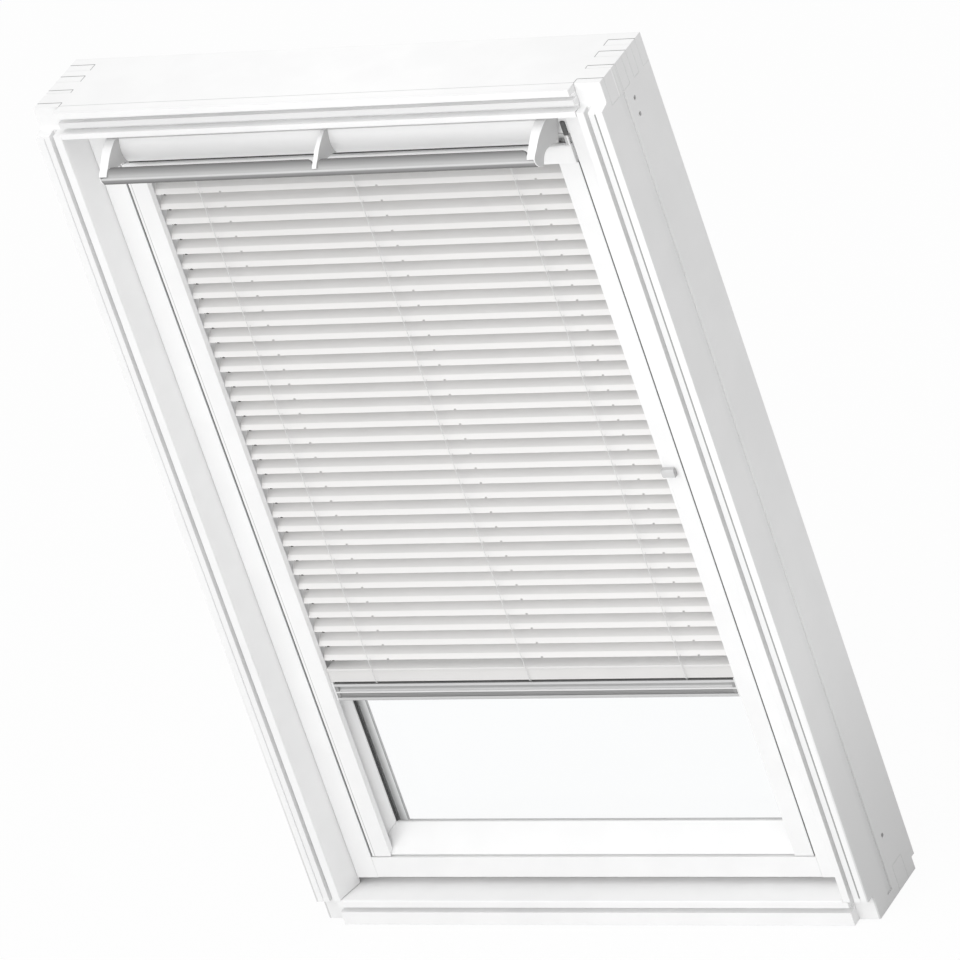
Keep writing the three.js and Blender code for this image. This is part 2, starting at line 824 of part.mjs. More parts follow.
// The outer side of an end arm spreads from the bar back to the hinge
function makeRightArm() {
  const arm = makeArm(armInside, armOutside + armSpread);
  const front = depthAt(-barProud);
  const hinge = depthAt(flapAxisDepth);
  const far = armOutside + armSpread + cutOverrun;
  const spread = prismZ([
    [armOutside, front - cutOverrun],
    [far, front - cutOverrun],
    [far, hinge + cutOverrun],
    [armOutside + armSpread, hinge + cutOverrun],
    [armOutside + armSpread, hinge],
    [armOutside, front],
  ], flapAxisHeight - armDrop - cutOverrun, flapAxisHeight + armDrop);
  return cutAway(arm, [spread, makeBarRoom(armInside - cutOverrun, barHalfLength + seatGap)]);
}

function makeMiddleArm() {
  const half = middleArmThickness / 2;
  const reach = half + cutOverrun;
  const flapRoom = flapFrontShares.map(flapPlace).map(([y, z]) => [y - seatGap, z]);
  flapRoom[0] = [flapRoom[0][0], flapRoom[0][1] + cutOverrun];
  flapRoom[1] = [flapRoom[1][0], flapRoom[1][1] + cutOverrun];
  const [lowestY] = flapRoom[flapRoom.length - 1];
  flapRoom.push([lowestY, flapAxisHeight - armDrop - cutOverrun]);
  flapRoom.push([depthAt(sashFrontDepth + cutOverrun), flapAxisHeight - armDrop - cutOverrun]);
  flapRoom.push([depthAt(sashFrontDepth + cutOverrun), flapRoom[0][1]]);
  return cutAway(makeArm(-half, half), [makeBarRoom(-reach, reach), prismX(flapRoom, -reach, reach)]);
}

const rightArm = makeRightArm();
addPiece(flap, 'control_arm_right', rightArm, whitePlastic);
addPiece(flap, 'control_arm_left', mirrored(rightArm), whitePlastic);
addPiece(flap, 'control_arm_middle', makeMiddleArm(), whitePlastic);

// Blind
const blind = new THREE.Group();
sash.add(blind);

const headrailTop = frameHeight - headHeight - headrailTopBelowHead;
const headrailFoot = headrailTop - headrailHeight;
const bevelClear = seatGap * Math.SQRT2;
const topBevelDepth = bevelDepthAt(sashTop - headrailTop) - bevelClear;
const headrailBack = headrailFrontDepth + headrailDepth;
const headrailBackTop = sashTop - bevelInsetAt(headrailBack + bevelClear);
const headrailBodyHalfLength = sashHalfWidth - bevelInsetAt(headrailBack + bevelClear);
const channelOutside = sashHalfWidth - channelSideInset;
const headrailHalfLength = sashHalfWidth - headrailSideInset;
const headrailEndBack = bevelDepthAt(headrailSideInset) - bevelClear;
const channelBack = bevelDepthAt(channelSideInset + channelLegInset) - bevelClear;

function makeHeadrail() {
  const nose = roundCorner(headrailFrontDepth + headrailRound, headrailTop - headrailRound,
    headrailRound, 2 * quarterTurn, quarterTurn, roundSteps);
  const section = [
    [headrailFrontDepth, headrailFoot],
    ...nose,
    [topBevelDepth, headrailTop],
    [headrailBack, headrailBackTop],
    [headrailBack, headrailFoot],
  ];
  const hollow = [
    [headrailFrontDepth + headrailWall, headrailFoot - cutOverrun],
    [headrailFrontDepth + headrailWall, headrailTop - headrailWall],
    [topBevelDepth - headrailWall, headrailTop - headrailWall],
    [headrailBack - headrailWall, headrailBackTop - headrailWall],
    [headrailBack - headrailWall, headrailFoot - cutOverrun],
  ];
  const end = [
    [headrailFrontDepth, headrailFoot],
    ...nose,
    [headrailEndBack, headrailTop],
    [headrailEndBack, headrailFoot],
  ];
  const place = ([depth, height]) => [depthAt(depth), height];
  const body = prismX(section.map(place), -headrailBodyHalfLength, headrailBodyHalfLength);
  const ends = prismX(end.map(place), -headrailHalfLength, headrailHalfLength);
  const inside = headrailBodyHalfLength - headrailWall;
  return cutAway(joinAll([body, ends]), [prismX(hollow.map(place), -inside, inside)]);
}

addPiece(blind, 'blind_headrail', makeHeadrail(), whitePlastic);

// Side channels: their inner walls lean in to guide the slats and the bottom rail
const channelFoot = sashBottom + sashFaceWidth + channelFootGap;
const channelInside = channelOutside - channelWidth;
const channelGuide = channelInside - channelGuideLean;
const channelLegSide = channelOutside - channelLegInset;
const knobPlace = headrailFoot - knobBelowHeadrail;

function makeRightChannel() {
  const outline = [
    [channelInside, channelFrontDepth],
    [channelOutside, channelFrontDepth],
    [channelOutside, channelFrontDepth + channelWall],
    [channelLegSide, channelFrontDepth + channelWall],
    [channelLegSide, channelBack],
    [channelLegSide - channelWall, channelBack],
    [channelLegSide - channelWall, channelFrontDepth + channelWall],
    [channelInside + channelWall, channelFrontDepth + channelWall],
    [channelGuide + channelWall, channelBack],
    [channelGuide, channelBack],
  ].map(([x, depth]) => [x, depthAt(depth)]);
  const plate = depthAt(channelFrontDepth + channelWall);
  const back = depthAt(channelBack + cutOverrun);
  const legFoot = sashBottom + bevelInsetAt(channelFrontDepth + channelWall + bevelClear);
  const legFootBack = sashBottom + bevelInsetAt(channelBack + cutOverrun + bevelClear);
  const bevelRoom = [
    [plate, channelFoot - cutOverrun],
    [plate, legFoot],
    [back, legFootBack],
    [back, channelFoot - cutOverrun],
  ];
  return cutAway(prismZ(outline, channelFoot, headrailFoot - seatGap),
    [prismX(bevelRoom, channelGuide - cutOverrun, channelOutside + cutOverrun)]);
}

// Slot in the front of the right channel for the neck of the tilt knob
const knobSlotMiddle = channelInside + knobSlotInset;
const knobSlotHalf = knobNeck / 2 + seatGap;
const knobSlotReach = knobClipWidth / 2 + seatGap;
const knobSlot = box(knobSlotMiddle - knobSlotHalf, knobSlotMiddle + knobSlotHalf,
  depthAt(channelFrontDepth - cutOverrun), depthAt(channelFrontDepth + channelWall + cutOverrun / 2),
  knobPlace - knobSlotReach - knobTravelDown, knobPlace + knobSlotReach + knobTravelUp);
const plainChannel = makeRightChannel();
addPiece(blind, 'blind_channel_right', cutAway(plainChannel, [knobSlot]), whitePlastic);
addPiece(blind, 'blind_channel_left', mirrored(plainChannel), whitePlastic);

// Slats, crowned upwards, with notches in the front edge for the lift cords and the end guides
const slatHalfLength = channelGuide - seatGap;
const firstSlatHeight = headrailFoot - firstSlatDrop;
const lastSlatHeight = firstSlatHeight - (slatCount - 1) * slatPitch;
const ladderSpacing = slatHalfLength - ladderEndInset;
const ladderPlaces = [-ladderSpacing, 0, ladderSpacing];

function makeSlat() {
  const half = slatWidth / 2;
  const upper = [];
  const lower = [];
  for (let i = 0; i <= slatArcSteps; i += 1) {
    const across = (2 * i) / slatArcSteps - 1;
    const rise = slatCrown * (1 - across * across) - slatCrown / 2;
    upper.push([across * half, rise + slatThickness]);
    lower.push([across * half, rise]);
  }
  const slat = prismX([...lower, ...upper.reverse()], -slatHalfLength, slatHalfLength);
  const notchPlaces = [
    ...ladderPlaces.map((place) => place + cordNotchOffset),
    slatHalfLength - guideNotchInset,
    guideNotchInset - slatHalfLength,
  ];
  const notches = notchPlaces.map((place) => box(place - cordNotchWidth / 2, place + cordNotchWidth / 2,
    -half - cutOverrun, cordNotchDepth - half, -cutOverrun, cutOverrun));
  return cutAway(slat, notches);
}

const flatSlat = makeSlat();
const restTurn = new THREE.Matrix4().makeRotationX(THREE.MathUtils.degToRad(slatRestTilt));
flatSlat.applyMatrix4(restTurn);
for (let i = 0; i < slatCount; i += 1) {
  const slat = flatSlat.clone();
  slat.translate(0, depthAt(slatAxisDepth), firstSlatHeight - i * slatPitch);
  const number = String(i + 1).padStart(2, '0');
  addPiece(blind, `slat_${number}`, slat, slatWhite);
}

// Bottom rail: a plain fascia over a grooved grip
const bottomRailTop = lastSlatHeight - slatWidth / 2 - bottomRailDrop;
const bottomRailFoot = bottomRailTop - bottomRailHeight;
const bottomRailFront = slatAxisDepth - bottomRailDepth / 2;

function makeBottomRail() {
  const front = depthAt(bottomRailFront);
  const back = depthAt(bottomRailFront + bottomRailDepth);
  const outline = [[front, bottomRailFoot]];
  let height = bottomRailFoot + gripStart;
  for (let i = 0; i < gripGrooveCount; i += 1) {
    outline.push([front, height]);
    outline.push([front + gripGrooveDepth, height]);
    outline.push([front + gripGrooveDepth, height + gripGrooveHeight]);
    outline.push([front, height + gripGrooveHeight]);
    height += gripGrooveHeight + gripRidge;
  }
  outline.push([front, bottomRailFoot + fasciaGapPlace]);
  outline.push([front + gripGrooveDepth, bottomRailFoot + fasciaGapPlace]);
  outline.push([front + gripGrooveDepth, bottomRailFoot + fasciaGapPlace + fasciaGap]);
  outline.push([front + fasciaRecess, bottomRailFoot + fasciaGapPlace + fasciaGap]);
  outline.push([front + fasciaRecess, bottomRailFoot + fasciaTop]);
  outline.push([front, bottomRailFoot + fasciaTop]);
  outline.push([front, bottomRailTop]);
  outline.push([back, bottomRailTop]);
  outline.push([back, bottomRailFoot]);
  return prismX(outline, -slatHalfLength, slatHalfLength);
}

addPiece(blind, 'blind_bottom_rail', makeBottomRail(), slatWhite);

// Cord ladders: each runs from the headrail down the front, under the bottom rail and up the back
const ladderHalf = slatWidth / 2 + ladderSideGap + ladderCordRadius;
const ladderFoot = bottomRailFoot - seatGap - ladderCordRadius;

class StationPath extends THREE.Curve {
  constructor(stations) {
    super();
    this.stations = stations;
  }

  getPoint(t, target = new THREE.Vector3()) {
    const last = this.stations.length - 1;
    const place = t * last;
    const index = Math.min(Math.floor(place), last - 1);
    return target.lerpVectors(this.stations[index], this.stations[index + 1], place - index);
  }

  getPointAt(u, target) {
    return this.getPoint(u, target);
  }

  getTangentAt(u, target) {
    return this.getTangent(u, target);
  }
}

function makeLadder(x) {
  const y = depthAt(slatAxisDepth);
  const top = headrailFoot + ladderTopReach;
  const frontBend = roundCorner(y - ladderHalf + ladderBend, ladderFoot + ladderBend, ladderBend,
    -2 * quarterTurn, -quarterTurn, ladderBendSteps);
  const backBend = roundCorner(y + ladderHalf - ladderBend, ladderFoot + ladderBend, ladderBend,
    -quarterTurn, 0, ladderBendSteps);
  const route = [[y - ladderHalf, top], ...frontBend, ...backBend, [y + ladderHalf, top]];
  const stations = route.map(([a, b]) => new THREE.Vector3(x, a, b));
  const section = [];
  for (let i = 0; i < ladderSides; i += 1) {
    const angle = (2 * Math.PI * i) / ladderSides;
    section.push([ladderCordRadius * Math.cos(angle), ladderCordRadius * Math.sin(angle)]);
  }
  return new THREE.ExtrudeGeometry(shapeOf(section), {
    steps: stations.length - 1,
    extrudePath: new StationPath(stations),
    bevelEnabled: false,
  });
}

const ladderNames = ['left', 'middle', 'right'];
ladderPlaces.forEach((place, i) => {
  addPiece(blind, `cord_ladder_${ladderNames[i]}`, makeLadder(place), cordWhite);
});

// Tilt knob that slides on the right channel
function makeKnob() {
  const inside = channelInside - knobOverhang;
  const outside = inside + knobWidth;
  const low = knobPlace - knobHeight / 2;
  const high = knobPlace + knobHeight / 2;
  const outline = [
    ...roundCorner(outside - knobRound, high - knobRound, knobRound, 0, quarterTurn, roundSteps),
    ...roundCorner(inside + knobRound, high - knobRound, knobRound, quarterTurn, 2 * quarterTurn, roundSteps),
    ...roundCorner(inside + knobRound, low + knobRound, knobRound, -2 * quarterTurn, -quarterTurn, roundSteps),
    ...roundCorner(outside - knobRound, low + knobRound, knobRound, -quarterTurn, 0, roundSteps),
  ];
  const back = channelFrontDepth - seatGap;
  const plate = prismY(outline, depthAt(back - knobThickness), depthAt(back));
  const clip = box(knobSlotMiddle - knobNeck / 2, knobSlotMiddle + knobNeck / 2, depthAt(back - knobRound),
    depthAt(channelFrontDepth + channelWall + seatGap + knobClipThickness),
    knobPlace - knobClipWidth / 2, knobPlace + knobClipWidth / 2);
  return joinAll([plate, clip]);
}

addPiece(blind, 'tilt_knob', makeKnob(), knobGrey);

export default root;
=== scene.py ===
import json
import math

import bmesh
import bpy
from mathutils import Euler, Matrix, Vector


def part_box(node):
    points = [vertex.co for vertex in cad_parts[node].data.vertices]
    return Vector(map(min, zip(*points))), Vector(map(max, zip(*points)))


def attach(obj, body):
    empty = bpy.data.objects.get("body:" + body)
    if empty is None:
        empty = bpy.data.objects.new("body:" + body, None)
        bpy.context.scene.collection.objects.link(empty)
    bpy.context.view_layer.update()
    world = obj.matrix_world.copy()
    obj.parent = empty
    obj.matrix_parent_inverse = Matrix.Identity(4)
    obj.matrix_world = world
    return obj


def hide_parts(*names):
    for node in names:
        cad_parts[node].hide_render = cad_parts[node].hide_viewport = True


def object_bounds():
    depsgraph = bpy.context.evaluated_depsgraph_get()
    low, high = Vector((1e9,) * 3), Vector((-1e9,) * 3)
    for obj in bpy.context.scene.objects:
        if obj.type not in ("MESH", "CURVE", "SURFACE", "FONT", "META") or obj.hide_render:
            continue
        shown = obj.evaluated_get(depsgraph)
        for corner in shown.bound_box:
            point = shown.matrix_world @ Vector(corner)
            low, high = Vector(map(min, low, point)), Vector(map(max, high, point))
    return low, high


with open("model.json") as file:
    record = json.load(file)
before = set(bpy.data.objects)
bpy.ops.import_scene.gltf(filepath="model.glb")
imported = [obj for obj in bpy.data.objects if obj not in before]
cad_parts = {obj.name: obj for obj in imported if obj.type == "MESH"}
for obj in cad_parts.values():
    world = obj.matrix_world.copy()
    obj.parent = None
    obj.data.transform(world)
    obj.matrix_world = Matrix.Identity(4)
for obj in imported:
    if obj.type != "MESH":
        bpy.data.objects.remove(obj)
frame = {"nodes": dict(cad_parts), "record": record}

cad_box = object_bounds()
nodes = frame["nodes"]

# The frame is in metres: X to the right seen from the room, Y outwards, Z up the window.
# Sizes below are in millimetres, and depths are behind the front of the frame.
MM = 0.001
IMAGE_SIDE = 960
FRONT_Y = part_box("frame_head")[0][1]
TOP_MM = cad_box[1][2] / MM
HALF_WIDTH_MM = cad_box[1][0] / MM
SIDES = (("left", -1), ("right", 1))
X, Y, Z = 0, 1, 2


def sides_of(node, axis):
    """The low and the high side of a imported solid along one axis, in millimetres."""
    start = FRONT_Y if axis == Y else 0
    return [(corner[axis] - start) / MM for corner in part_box(node)]


JAMB_INSIDE_MM = -sides_of("frame_jamb_left", X)[1]
SASH_SIDE = sides_of("sash_stile_right", X)[1]
SASH_FOOT, SASH_TOP = sides_of("sash_stile_right", Z)
SLAT_END = sides_of("slat_01", X)[1]
HEADRAIL_FOOT = sides_of("blind_headrail", Z)[0]
RAIL_FOOT, RAIL_TOP = sides_of("blind_bottom_rail", Z)
RAIL_NEAR, RAIL_BACK = sides_of("blind_bottom_rail", Y)
BAR_END = sides_of("control_bar", X)[1]
BAR_LOW, BAR_TOP = sides_of("control_bar", Z)
FLAP_END = sides_of("vent_flap", X)[1]
ARM_INSIDE = sides_of("control_arm_right", X)[0]
SPACER_NEAR, SPACER_FAR = sides_of("glass_spacer", Y)
COVER_HALF = sides_of("sash_outside_cover", X)[1]
COVER_NEAR, COVER_BACK = sides_of("sash_outside_cover", Y)
COVER_FOOT, COVER_TOP = sides_of("sash_outside_cover", Z)
HINGE_DEPTH, HINGE_HEIGHT = 35.0, SASH_TOP - 8.5
SIGHT_INSET = 62.15
FIT = 0.3


# Node trees

class Wire:
    """A socket that takes part in an expression with numbers and other sockets."""

    def __init__(self, kit, socket):
        self.kit = kit
        self.socket = socket

    def maths(self, operation, *others):
        return self.kit.add("ShaderNodeMath", {"operation": operation}, [self, *others])

    def __add__(self, other):
        return self.maths("ADD", other)

    __radd__ = __add__

    def __sub__(self, other):
        return self.maths("SUBTRACT", other)

    def __rsub__(self, other):
        return self.kit.add("ShaderNodeMath", {"operation": "SUBTRACT"}, [other, self])

    def __mul__(self, other):
        return self.maths("MULTIPLY", other)

    __rmul__ = __mul__

    def __truediv__(self, other):
        return self.maths("DIVIDE", other)

    def most(self, other):
        return self.maths("MAXIMUM", other)

    def size(self):
        return self.maths("ABSOLUTE")

    def above(self, low, high):
        """0 below low, 1 above high, smooth between them."""
        settings = {"interpolation_type": "SMOOTHSTEP", "clamp": True}
        return self.kit.add("ShaderNodeMapRange", settings, {"Value": self, "From Min": low, "From Max": high})

    def within(self, low, high, edge):
        return self.above(low - edge, low + edge) * (1 - self.above(high - edge, high + edge))


class Bench:
    """Makes nodes in one tree: of a material, a shape or the world."""

    def __init__(self, tree):
        self.tree = tree

    def feed(self, socket, value):
        for part in value if isinstance(value, list) else [value]:
            if isinstance(part, Wire):
                self.tree.links.new(part.socket, socket)
            elif part is not None:
                socket.default_value = part

    def add(self, kind, settings=None, inputs=None, output=0):
        node = self.tree.nodes.new(kind)
        for key, value in (settings or {}).items():
            if key == "stops":
                ramp = node.color_ramp
                while len(ramp.elements) < len(value):
                    ramp.elements.new(0.5)
                for element, (place, colour) in zip(ramp.elements, value):
                    element.position = place
                    element.color = colour
            else:
                setattr(node, key, value)
        pairs = inputs.items() if isinstance(inputs, dict) else enumerate(inputs or [])
        for key, value in pairs:
            self.feed(node.inputs[key], value)
        return Wire(self, node.outputs[output])

    def split(self, vector):
        """The three parts of a vector."""
        first = self.add("ShaderNodeSeparateXYZ", None, {"Vector": vector})
        return [Wire(self, output) for output in first.socket.node.outputs]


class Kit(Bench):
    """Makes the nodes of one material."""

    def __init__(self, name):
        self.material = bpy.data.materials.new(name)
        self.material.use_nodes = True
        super().__init__(self.material.node_tree)
        self.tree.nodes.clear()
        self.output = self.tree.nodes.new("ShaderNodeOutputMaterial")

    def place(self):
        """Object coordinates as three wires."""
        return self.split(self.add("ShaderNodeTexCoord", output="Object"))

    def millimetres(self):
        """X, depth behind the front of the frame, and height, all in millimetres."""
        x, y, z = self.place()
        return x * 1000, (y - FRONT_Y) * 1000, z * 1000

    def facing(self):
        """The surface's own normal as three wires."""
        return self.split(self.add("ShaderNodeNewGeometry", output="Normal"))

    def noise(self, scale, stretch=(1, 1, 1), detail=2):
        coordinates = self.add("ShaderNodeTexCoord", output="Object")
        mapped = self.add("ShaderNodeMapping", None, {"Vector": coordinates, "Scale": stretch})
        return self.add("ShaderNodeTexNoise", None, {"Vector": mapped, "Scale": scale, "Detail": detail})

    def drawn_lines(self, stretch=(0.01, 1, 1)):
        """Fine lines along the length of drawn metal."""
        return self.noise(1400, stretch, 4)

    def blend(self, factor, first, second):
        settings = {"data_type": "RGBA", "blend_type": "MIX"}
        return self.add("ShaderNodeMix", settings, {0: factor, 6: first, 7: second}, 2)

    def drifting(self, noise, low, high, warmth=0.0):
        """A grey that drifts between two levels with the noise."""
        return self.blend(noise.above(0.3, 0.7), grey(low, warmth), grey(high, warmth))

    def bump(self, height, strength, distance):
        inputs = {"Height": height, "Strength": strength, "Distance": distance}
        return self.add("ShaderNodeBump", None, inputs)

    def surface(self, **values):
        inputs = {key.replace("_", " "): value for key, value in values.items()}
        shader = self.add("ShaderNodeBsdfPrincipled", None, inputs)
        self.feed(self.output.inputs["Surface"], shader)
        return self.material


class Former(Bench):
    """Makes the nodes of one shape, with an input for each of its sizes."""

    def __init__(self, name, *sizes):
        super().__init__(bpy.data.node_groups.new(name, "GeometryNodeTree"))
        sockets = self.tree.interface
        sockets.new_socket("Start", in_out="INPUT", socket_type="NodeSocketGeometry")
        for size in sizes:
            sockets.new_socket(size, in_out="INPUT", socket_type="NodeSocketFloat")
        sockets.new_socket("Shape", in_out="OUTPUT", socket_type="NodeSocketGeometry")
        outputs = self.tree.nodes.new("NodeGroupInput").outputs
        self.start = Wire(self, outputs["Start"])
        self.sizes = [Wire(self, outputs[size]) for size in sizes]
        self.end = self.tree.nodes.new("NodeGroupOutput")

    def vector(self, x, y, z):
        return self.add("ShaderNodeCombineXYZ", None, [x, y, z])

    def moved(self, shape, place, turn=(0, 0, 0), scale=(1, 1, 1)):
        inputs = {"Geometry": shape, "Translation": place, "Rotation": turn, "Scale": scale}
        return self.add("GeometryNodeTransform", None, inputs)

    def together(self, *shapes):
        return self.add("GeometryNodeJoinGeometry", None, [list(shapes)])

    def swept(self, path, radius, sides):
        ring = self.add("GeometryNodeCurvePrimitiveCircle", None, {"Radius": radius, "Resolution": sides})
        inputs = {"Curve": path, "Profile Curve": ring, "Fill Caps": True}
        return self.add("GeometryNodeCurveToMesh", None, inputs)

    def ending(self, shape, material):
        real = self.add("GeometryNodeRealizeInstances", None, {"Geometry": shape})
        done = self.add("GeometryNodeSetMaterial", None, {"Geometry": real, "Material": material})
        self.feed(self.end.inputs[0], done)
        return self.tree


def in_scene(name, data):
    item = bpy.data.objects.new(name, data)
    bpy.context.collection.objects.link(item)
    return item


def finished(item):
    """The plain mesh that an object's modifiers make of it."""
    return bpy.data.meshes.new_from_object(item.evaluated_get(bpy.context.evaluated_depsgraph_get()))


def formed(name, tree, start, **sizes):
    """The mesh that a shape's tree makes from a start mesh, its sizes in metres and radians."""
    holder = in_scene(name, start)
    modifier = holder.modifiers.new(name, "NODES")
    modifier.node_group = tree
    for socket in tree.interface.items_tree:
        if socket.name in sizes:
            modifier[socket.identifier] = sizes[socket.name]
    result = finished(holder)
    bpy.data.objects.remove(holder)
    result.name = name
    return result


# Finishes

def grey(level, warmth=0.0):
    """A colour given as it shows on screen, 0 to 1, turned to linear light."""
    def linear(v):
        return v / 12.92 if v <= 0.04045 else ((v + 0.055) / 1.055) ** 2.4
    return (linear(level + warmth), linear(level), linear(level - warmth), 1)


# How far sprayed lacquer drifts in tone, and the height of its peel in metres
LACQUER_DRIFT = 0.012
PEEL = 0.00004


def lacquer(name, level, roughness, warmth=0.0):
    kit = Kit(name)
    cloud = kit.noise(14)
    normal = kit.bump(kit.noise(900), 0.25, PEEL)
    tone = kit.drifting(cloud, level - LACQUER_DRIFT, level, warmth)
    return kit.surface(Base_Color=tone, Roughness=roughness + cloud * 0.06, Normal=normal)


def strip_enamel(name, level, painted_lip_highlight, roughness, warmth):
    """Stove paint on the slat strip, with a painted highlight that makes the folded lip brighter."""
    kit = Kit(name)
    rolled = kit.noise(60, (0.1, 1, 1))
    lip = kit.add("ShaderNodeAttribute", {"attribute_name": "lip"}, None, "Fac")
    base = kit.drifting(kit.noise(14), level - LACQUER_DRIFT, level, warmth)
    # painted highlight: the lip gets a lighter tone than the rest of the slat
    tone = kit.blend(lip, base, grey(painted_lip_highlight, warmth))
    return kit.surface(Base_Color=tone, Roughness=roughness + rolled * 0.1)


# Depths at which the joints between head and jambs show on the top, and how far each returns forwards
JOINT_LINES = ((25.7, 15.8), (55.6, 48.8), (87.6, 74.6), (113.7, 100.5))
TOP_SCORE_DEPTH = 17.7
# Front of a jamb, inwards from its outer face: a score line painted dark as the shade at its step, and a band of
# painted shade between it and the lining groove, both from a height above the foot to a distance below the top
SCORE_NEAR, SCORE_FAR, BAND_FAR = 9.9, 11.6, 18.9
SCORE_FOOT, SCORE_TOP = 40, 34
# Recess of the head's band, where painted shade darkens the lacquer
RECESS_DEPTHS, RECESS_HEIGHT = (3.8, 4.3), 24
# Outer side with its groove: the groove's edge with a painted highlight, its other edge with painted shade, and the
# height up to which painted shade darkens the side towards the foot
SIDE_GROOVE = 2.3
PAINTED_HIGHLIGHT_EDGE, PAINTED_SHADE_EDGE = (45.2, 47), (57.6, 58.4)
PAINTED_SHADE_HEIGHT = 430


def frame_lacquer(name, level, roughness):
    """White lacquer on timber, with the corner joints' glue lines, and painted shade and highlights in its grooves,
    its recess and towards the foot of its sides.
    """
    kit = Kit(name)
    x, depth, height = kit.millimetres()
    out = x.size()
    on_top = height.above(TOP_MM - 0.4, TOP_MM - 0.2)
    at_ends = out.above(JAMB_INSIDE_MM - 0.3, JAMB_INSIDE_MM + 0.1)
    lines = depth.within(TOP_SCORE_DEPTH - 0.5, TOP_SCORE_DEPTH + 0.5, 0.2) * (1 - at_ends) * 0.5
    for line, start in JOINT_LINES:
        lines = lines.most(depth.within(line - 0.6, line + 0.6, 0.2) * at_ends)
        shoulder = out.within(JAMB_INSIDE_MM - 0.5, JAMB_INSIDE_MM + 0.6, 0.2)
        lines = lines.most(shoulder * depth.within(start, line, 0.3) * 0.8)
    recess_foot = TOP_MM - RECESS_HEIGHT
    # painted shade in the head band's recess
    recess_shade = depth.within(*RECESS_DEPTHS, 0.1) * height.above(recess_foot, recess_foot + 0.5)
    jamb_front = depth.within(-1, 1.3, 0.1) * height.within(SCORE_FOOT, TOP_MM - SCORE_TOP, 1)
    # the painted shade is stronger on the right jamb than on the left
    jamb_front = jamb_front * (0.4 + x.above(0, 1) * 0.6)
    score_shade_line = out.within(HALF_WIDTH_MM - SCORE_FAR, HALF_WIDTH_MM - SCORE_NEAR, 0.1) * jamb_front
    band = out.within(HALF_WIDTH_MM - BAND_FAR, HALF_WIDTH_MM - SCORE_FAR, 0.2) * jamb_front
    side = out.above(HALF_WIDTH_MM - SIDE_GROOVE, HALF_WIDTH_MM - SIDE_GROOVE + 0.2)
    cloud = kit.noise(14)
    tone = kit.drifting(cloud, level - LACQUER_DRIFT, level)
    # painted shade and highlights: the head band's recess, the jamb fronts' score line and band, the side groove's
    # edges and the side's lower part
    for mask, mark in ((recess_shade, level - 0.05), (band, level - 0.03), (score_shade_line, 0.67), (lines * on_top, 0.52),
                       (side * depth.within(*PAINTED_HIGHLIGHT_EDGE, 0.3), 1.0),
                       (side * depth.within(*PAINTED_SHADE_EDGE, 0.4) * 0.6, level - 0.12),
                       (side * (1 - height.above(0, PAINTED_SHADE_HEIGHT)), level - 0.12)):
        tone = kit.blend(mask, tone, grey(mark))
    normal = kit.bump(kit.noise(900), 0.25, PEEL)
    return kit.surface(Base_Color=tone, Roughness=roughness + cloud * 0.06, Normal=normal)


def moulding_skin(kit):
    """The faint texture that a mould leaves on plastic."""
    return kit.bump(kit.noise(2600), 0.2, 0.00003)


def arm_plastic(name, level, side_shade_level, roughness):
    """White plastic whose sides are rougher than its moulded front and back, and darker with painted shade."""
    kit = Kit(name)
    nx, _, _ = kit.facing()
    sides = nx.size().above(0.5, 0.9)
    # painted shade on the sides that face along X
    tone = kit.blend(sides, grey(level), grey(side_shade_level))
    return kit.surface(Base_Color=tone, Roughness=roughness + sides * 0.15, Normal=moulding_skin(kit))


def channel_plastic(name, level, roughness, line_at):
    """White channel with a fine fold line beside the outer edge of the left one, painted dark as the shade in its
    crease.
    """
    kit = Kit(name)
    x, _, _ = kit.millimetres()
    fold = (0 - x).within(line_at - 0.4, line_at + 0.4, 0.2)
    tone = kit.drifting(kit.noise(22), level - 0.01, level)
    # painted shade: a dark line in the fold's crease
    tone = kit.blend(fold * 0.8, tone, grey(0.7))
    return kit.surface(Base_Color=tone, Roughness=roughness, Normal=moulding_skin(kit))


def moulded(name, level, roughness):
    kit = Kit(name)
    cloud = kit.noise(22)
    tone = kit.drifting(cloud, level - 0.01, level)
    return kit.surface(Base_Color=tone, Roughness=roughness + cloud * 0.05, Normal=moulding_skin(kit))


def dark_rubber(name, level):
    kit = Kit(name)
    skin = kit.noise(1800)
    tone = kit.drifting(skin, level, level + 0.04)
    return kit.surface(Base_Color=tone, Roughness=0.7 + skin * 0.1, Normal=kit.bump(skin, 0.3, 0.00005))


def clear_knob(name):
    """Clear grey plastic: light in the middle, with painted shade where its sides turn away."""
    kit = Kit(name)
    nx, _, nz = kit.facing()
    sides = (nx.size() + nz.size() * 0.55).above(0.25, 0.9)
    skin = kit.noise(1500)
    # painted shade on the faces that turn away from the front
    tone = kit.blend(sides, grey(0.795), grey(0.66))
    normal = kit.bump(skin, 0.1, 0.00002)
    return kit.surface(Base_Color=tone, Roughness=0.16 + skin * 0.05, Coat_Weight=0.5, Normal=normal)


def banded_metal(name, stops, low, high, roughness, metallic):
    """Drawn aluminium with painted reflections and shade: its tone follows a ramp over the height of its own section.
    """
    kit = Kit(name)
    _, _, height = kit.millimetres()
    share = kit.add("ShaderNodeMapRange", {"clamp": True}, {"Value": height, "From Min": low, "From Max": high})
    ramp_stops = [(place, grey(tone)) for place, tone in stops]
    # painted reflections and shade: bright and dark bands by height
    ramp = kit.add("ShaderNodeValToRGB", {"stops": ramp_stops}, {"Fac": share}, "Color")
    lines = kit.drawn_lines()
    tone = kit.blend(lines.above(0.3, 0.7) * 0.08, ramp, grey(0.4))
    rough = roughness + lines * 0.1 + kit.noise(30) * 0.04
    return kit.surface(Base_Color=tone, Metallic=metallic, Roughness=rough, Normal=kit.bump(lines, 0.15, 0.00002))


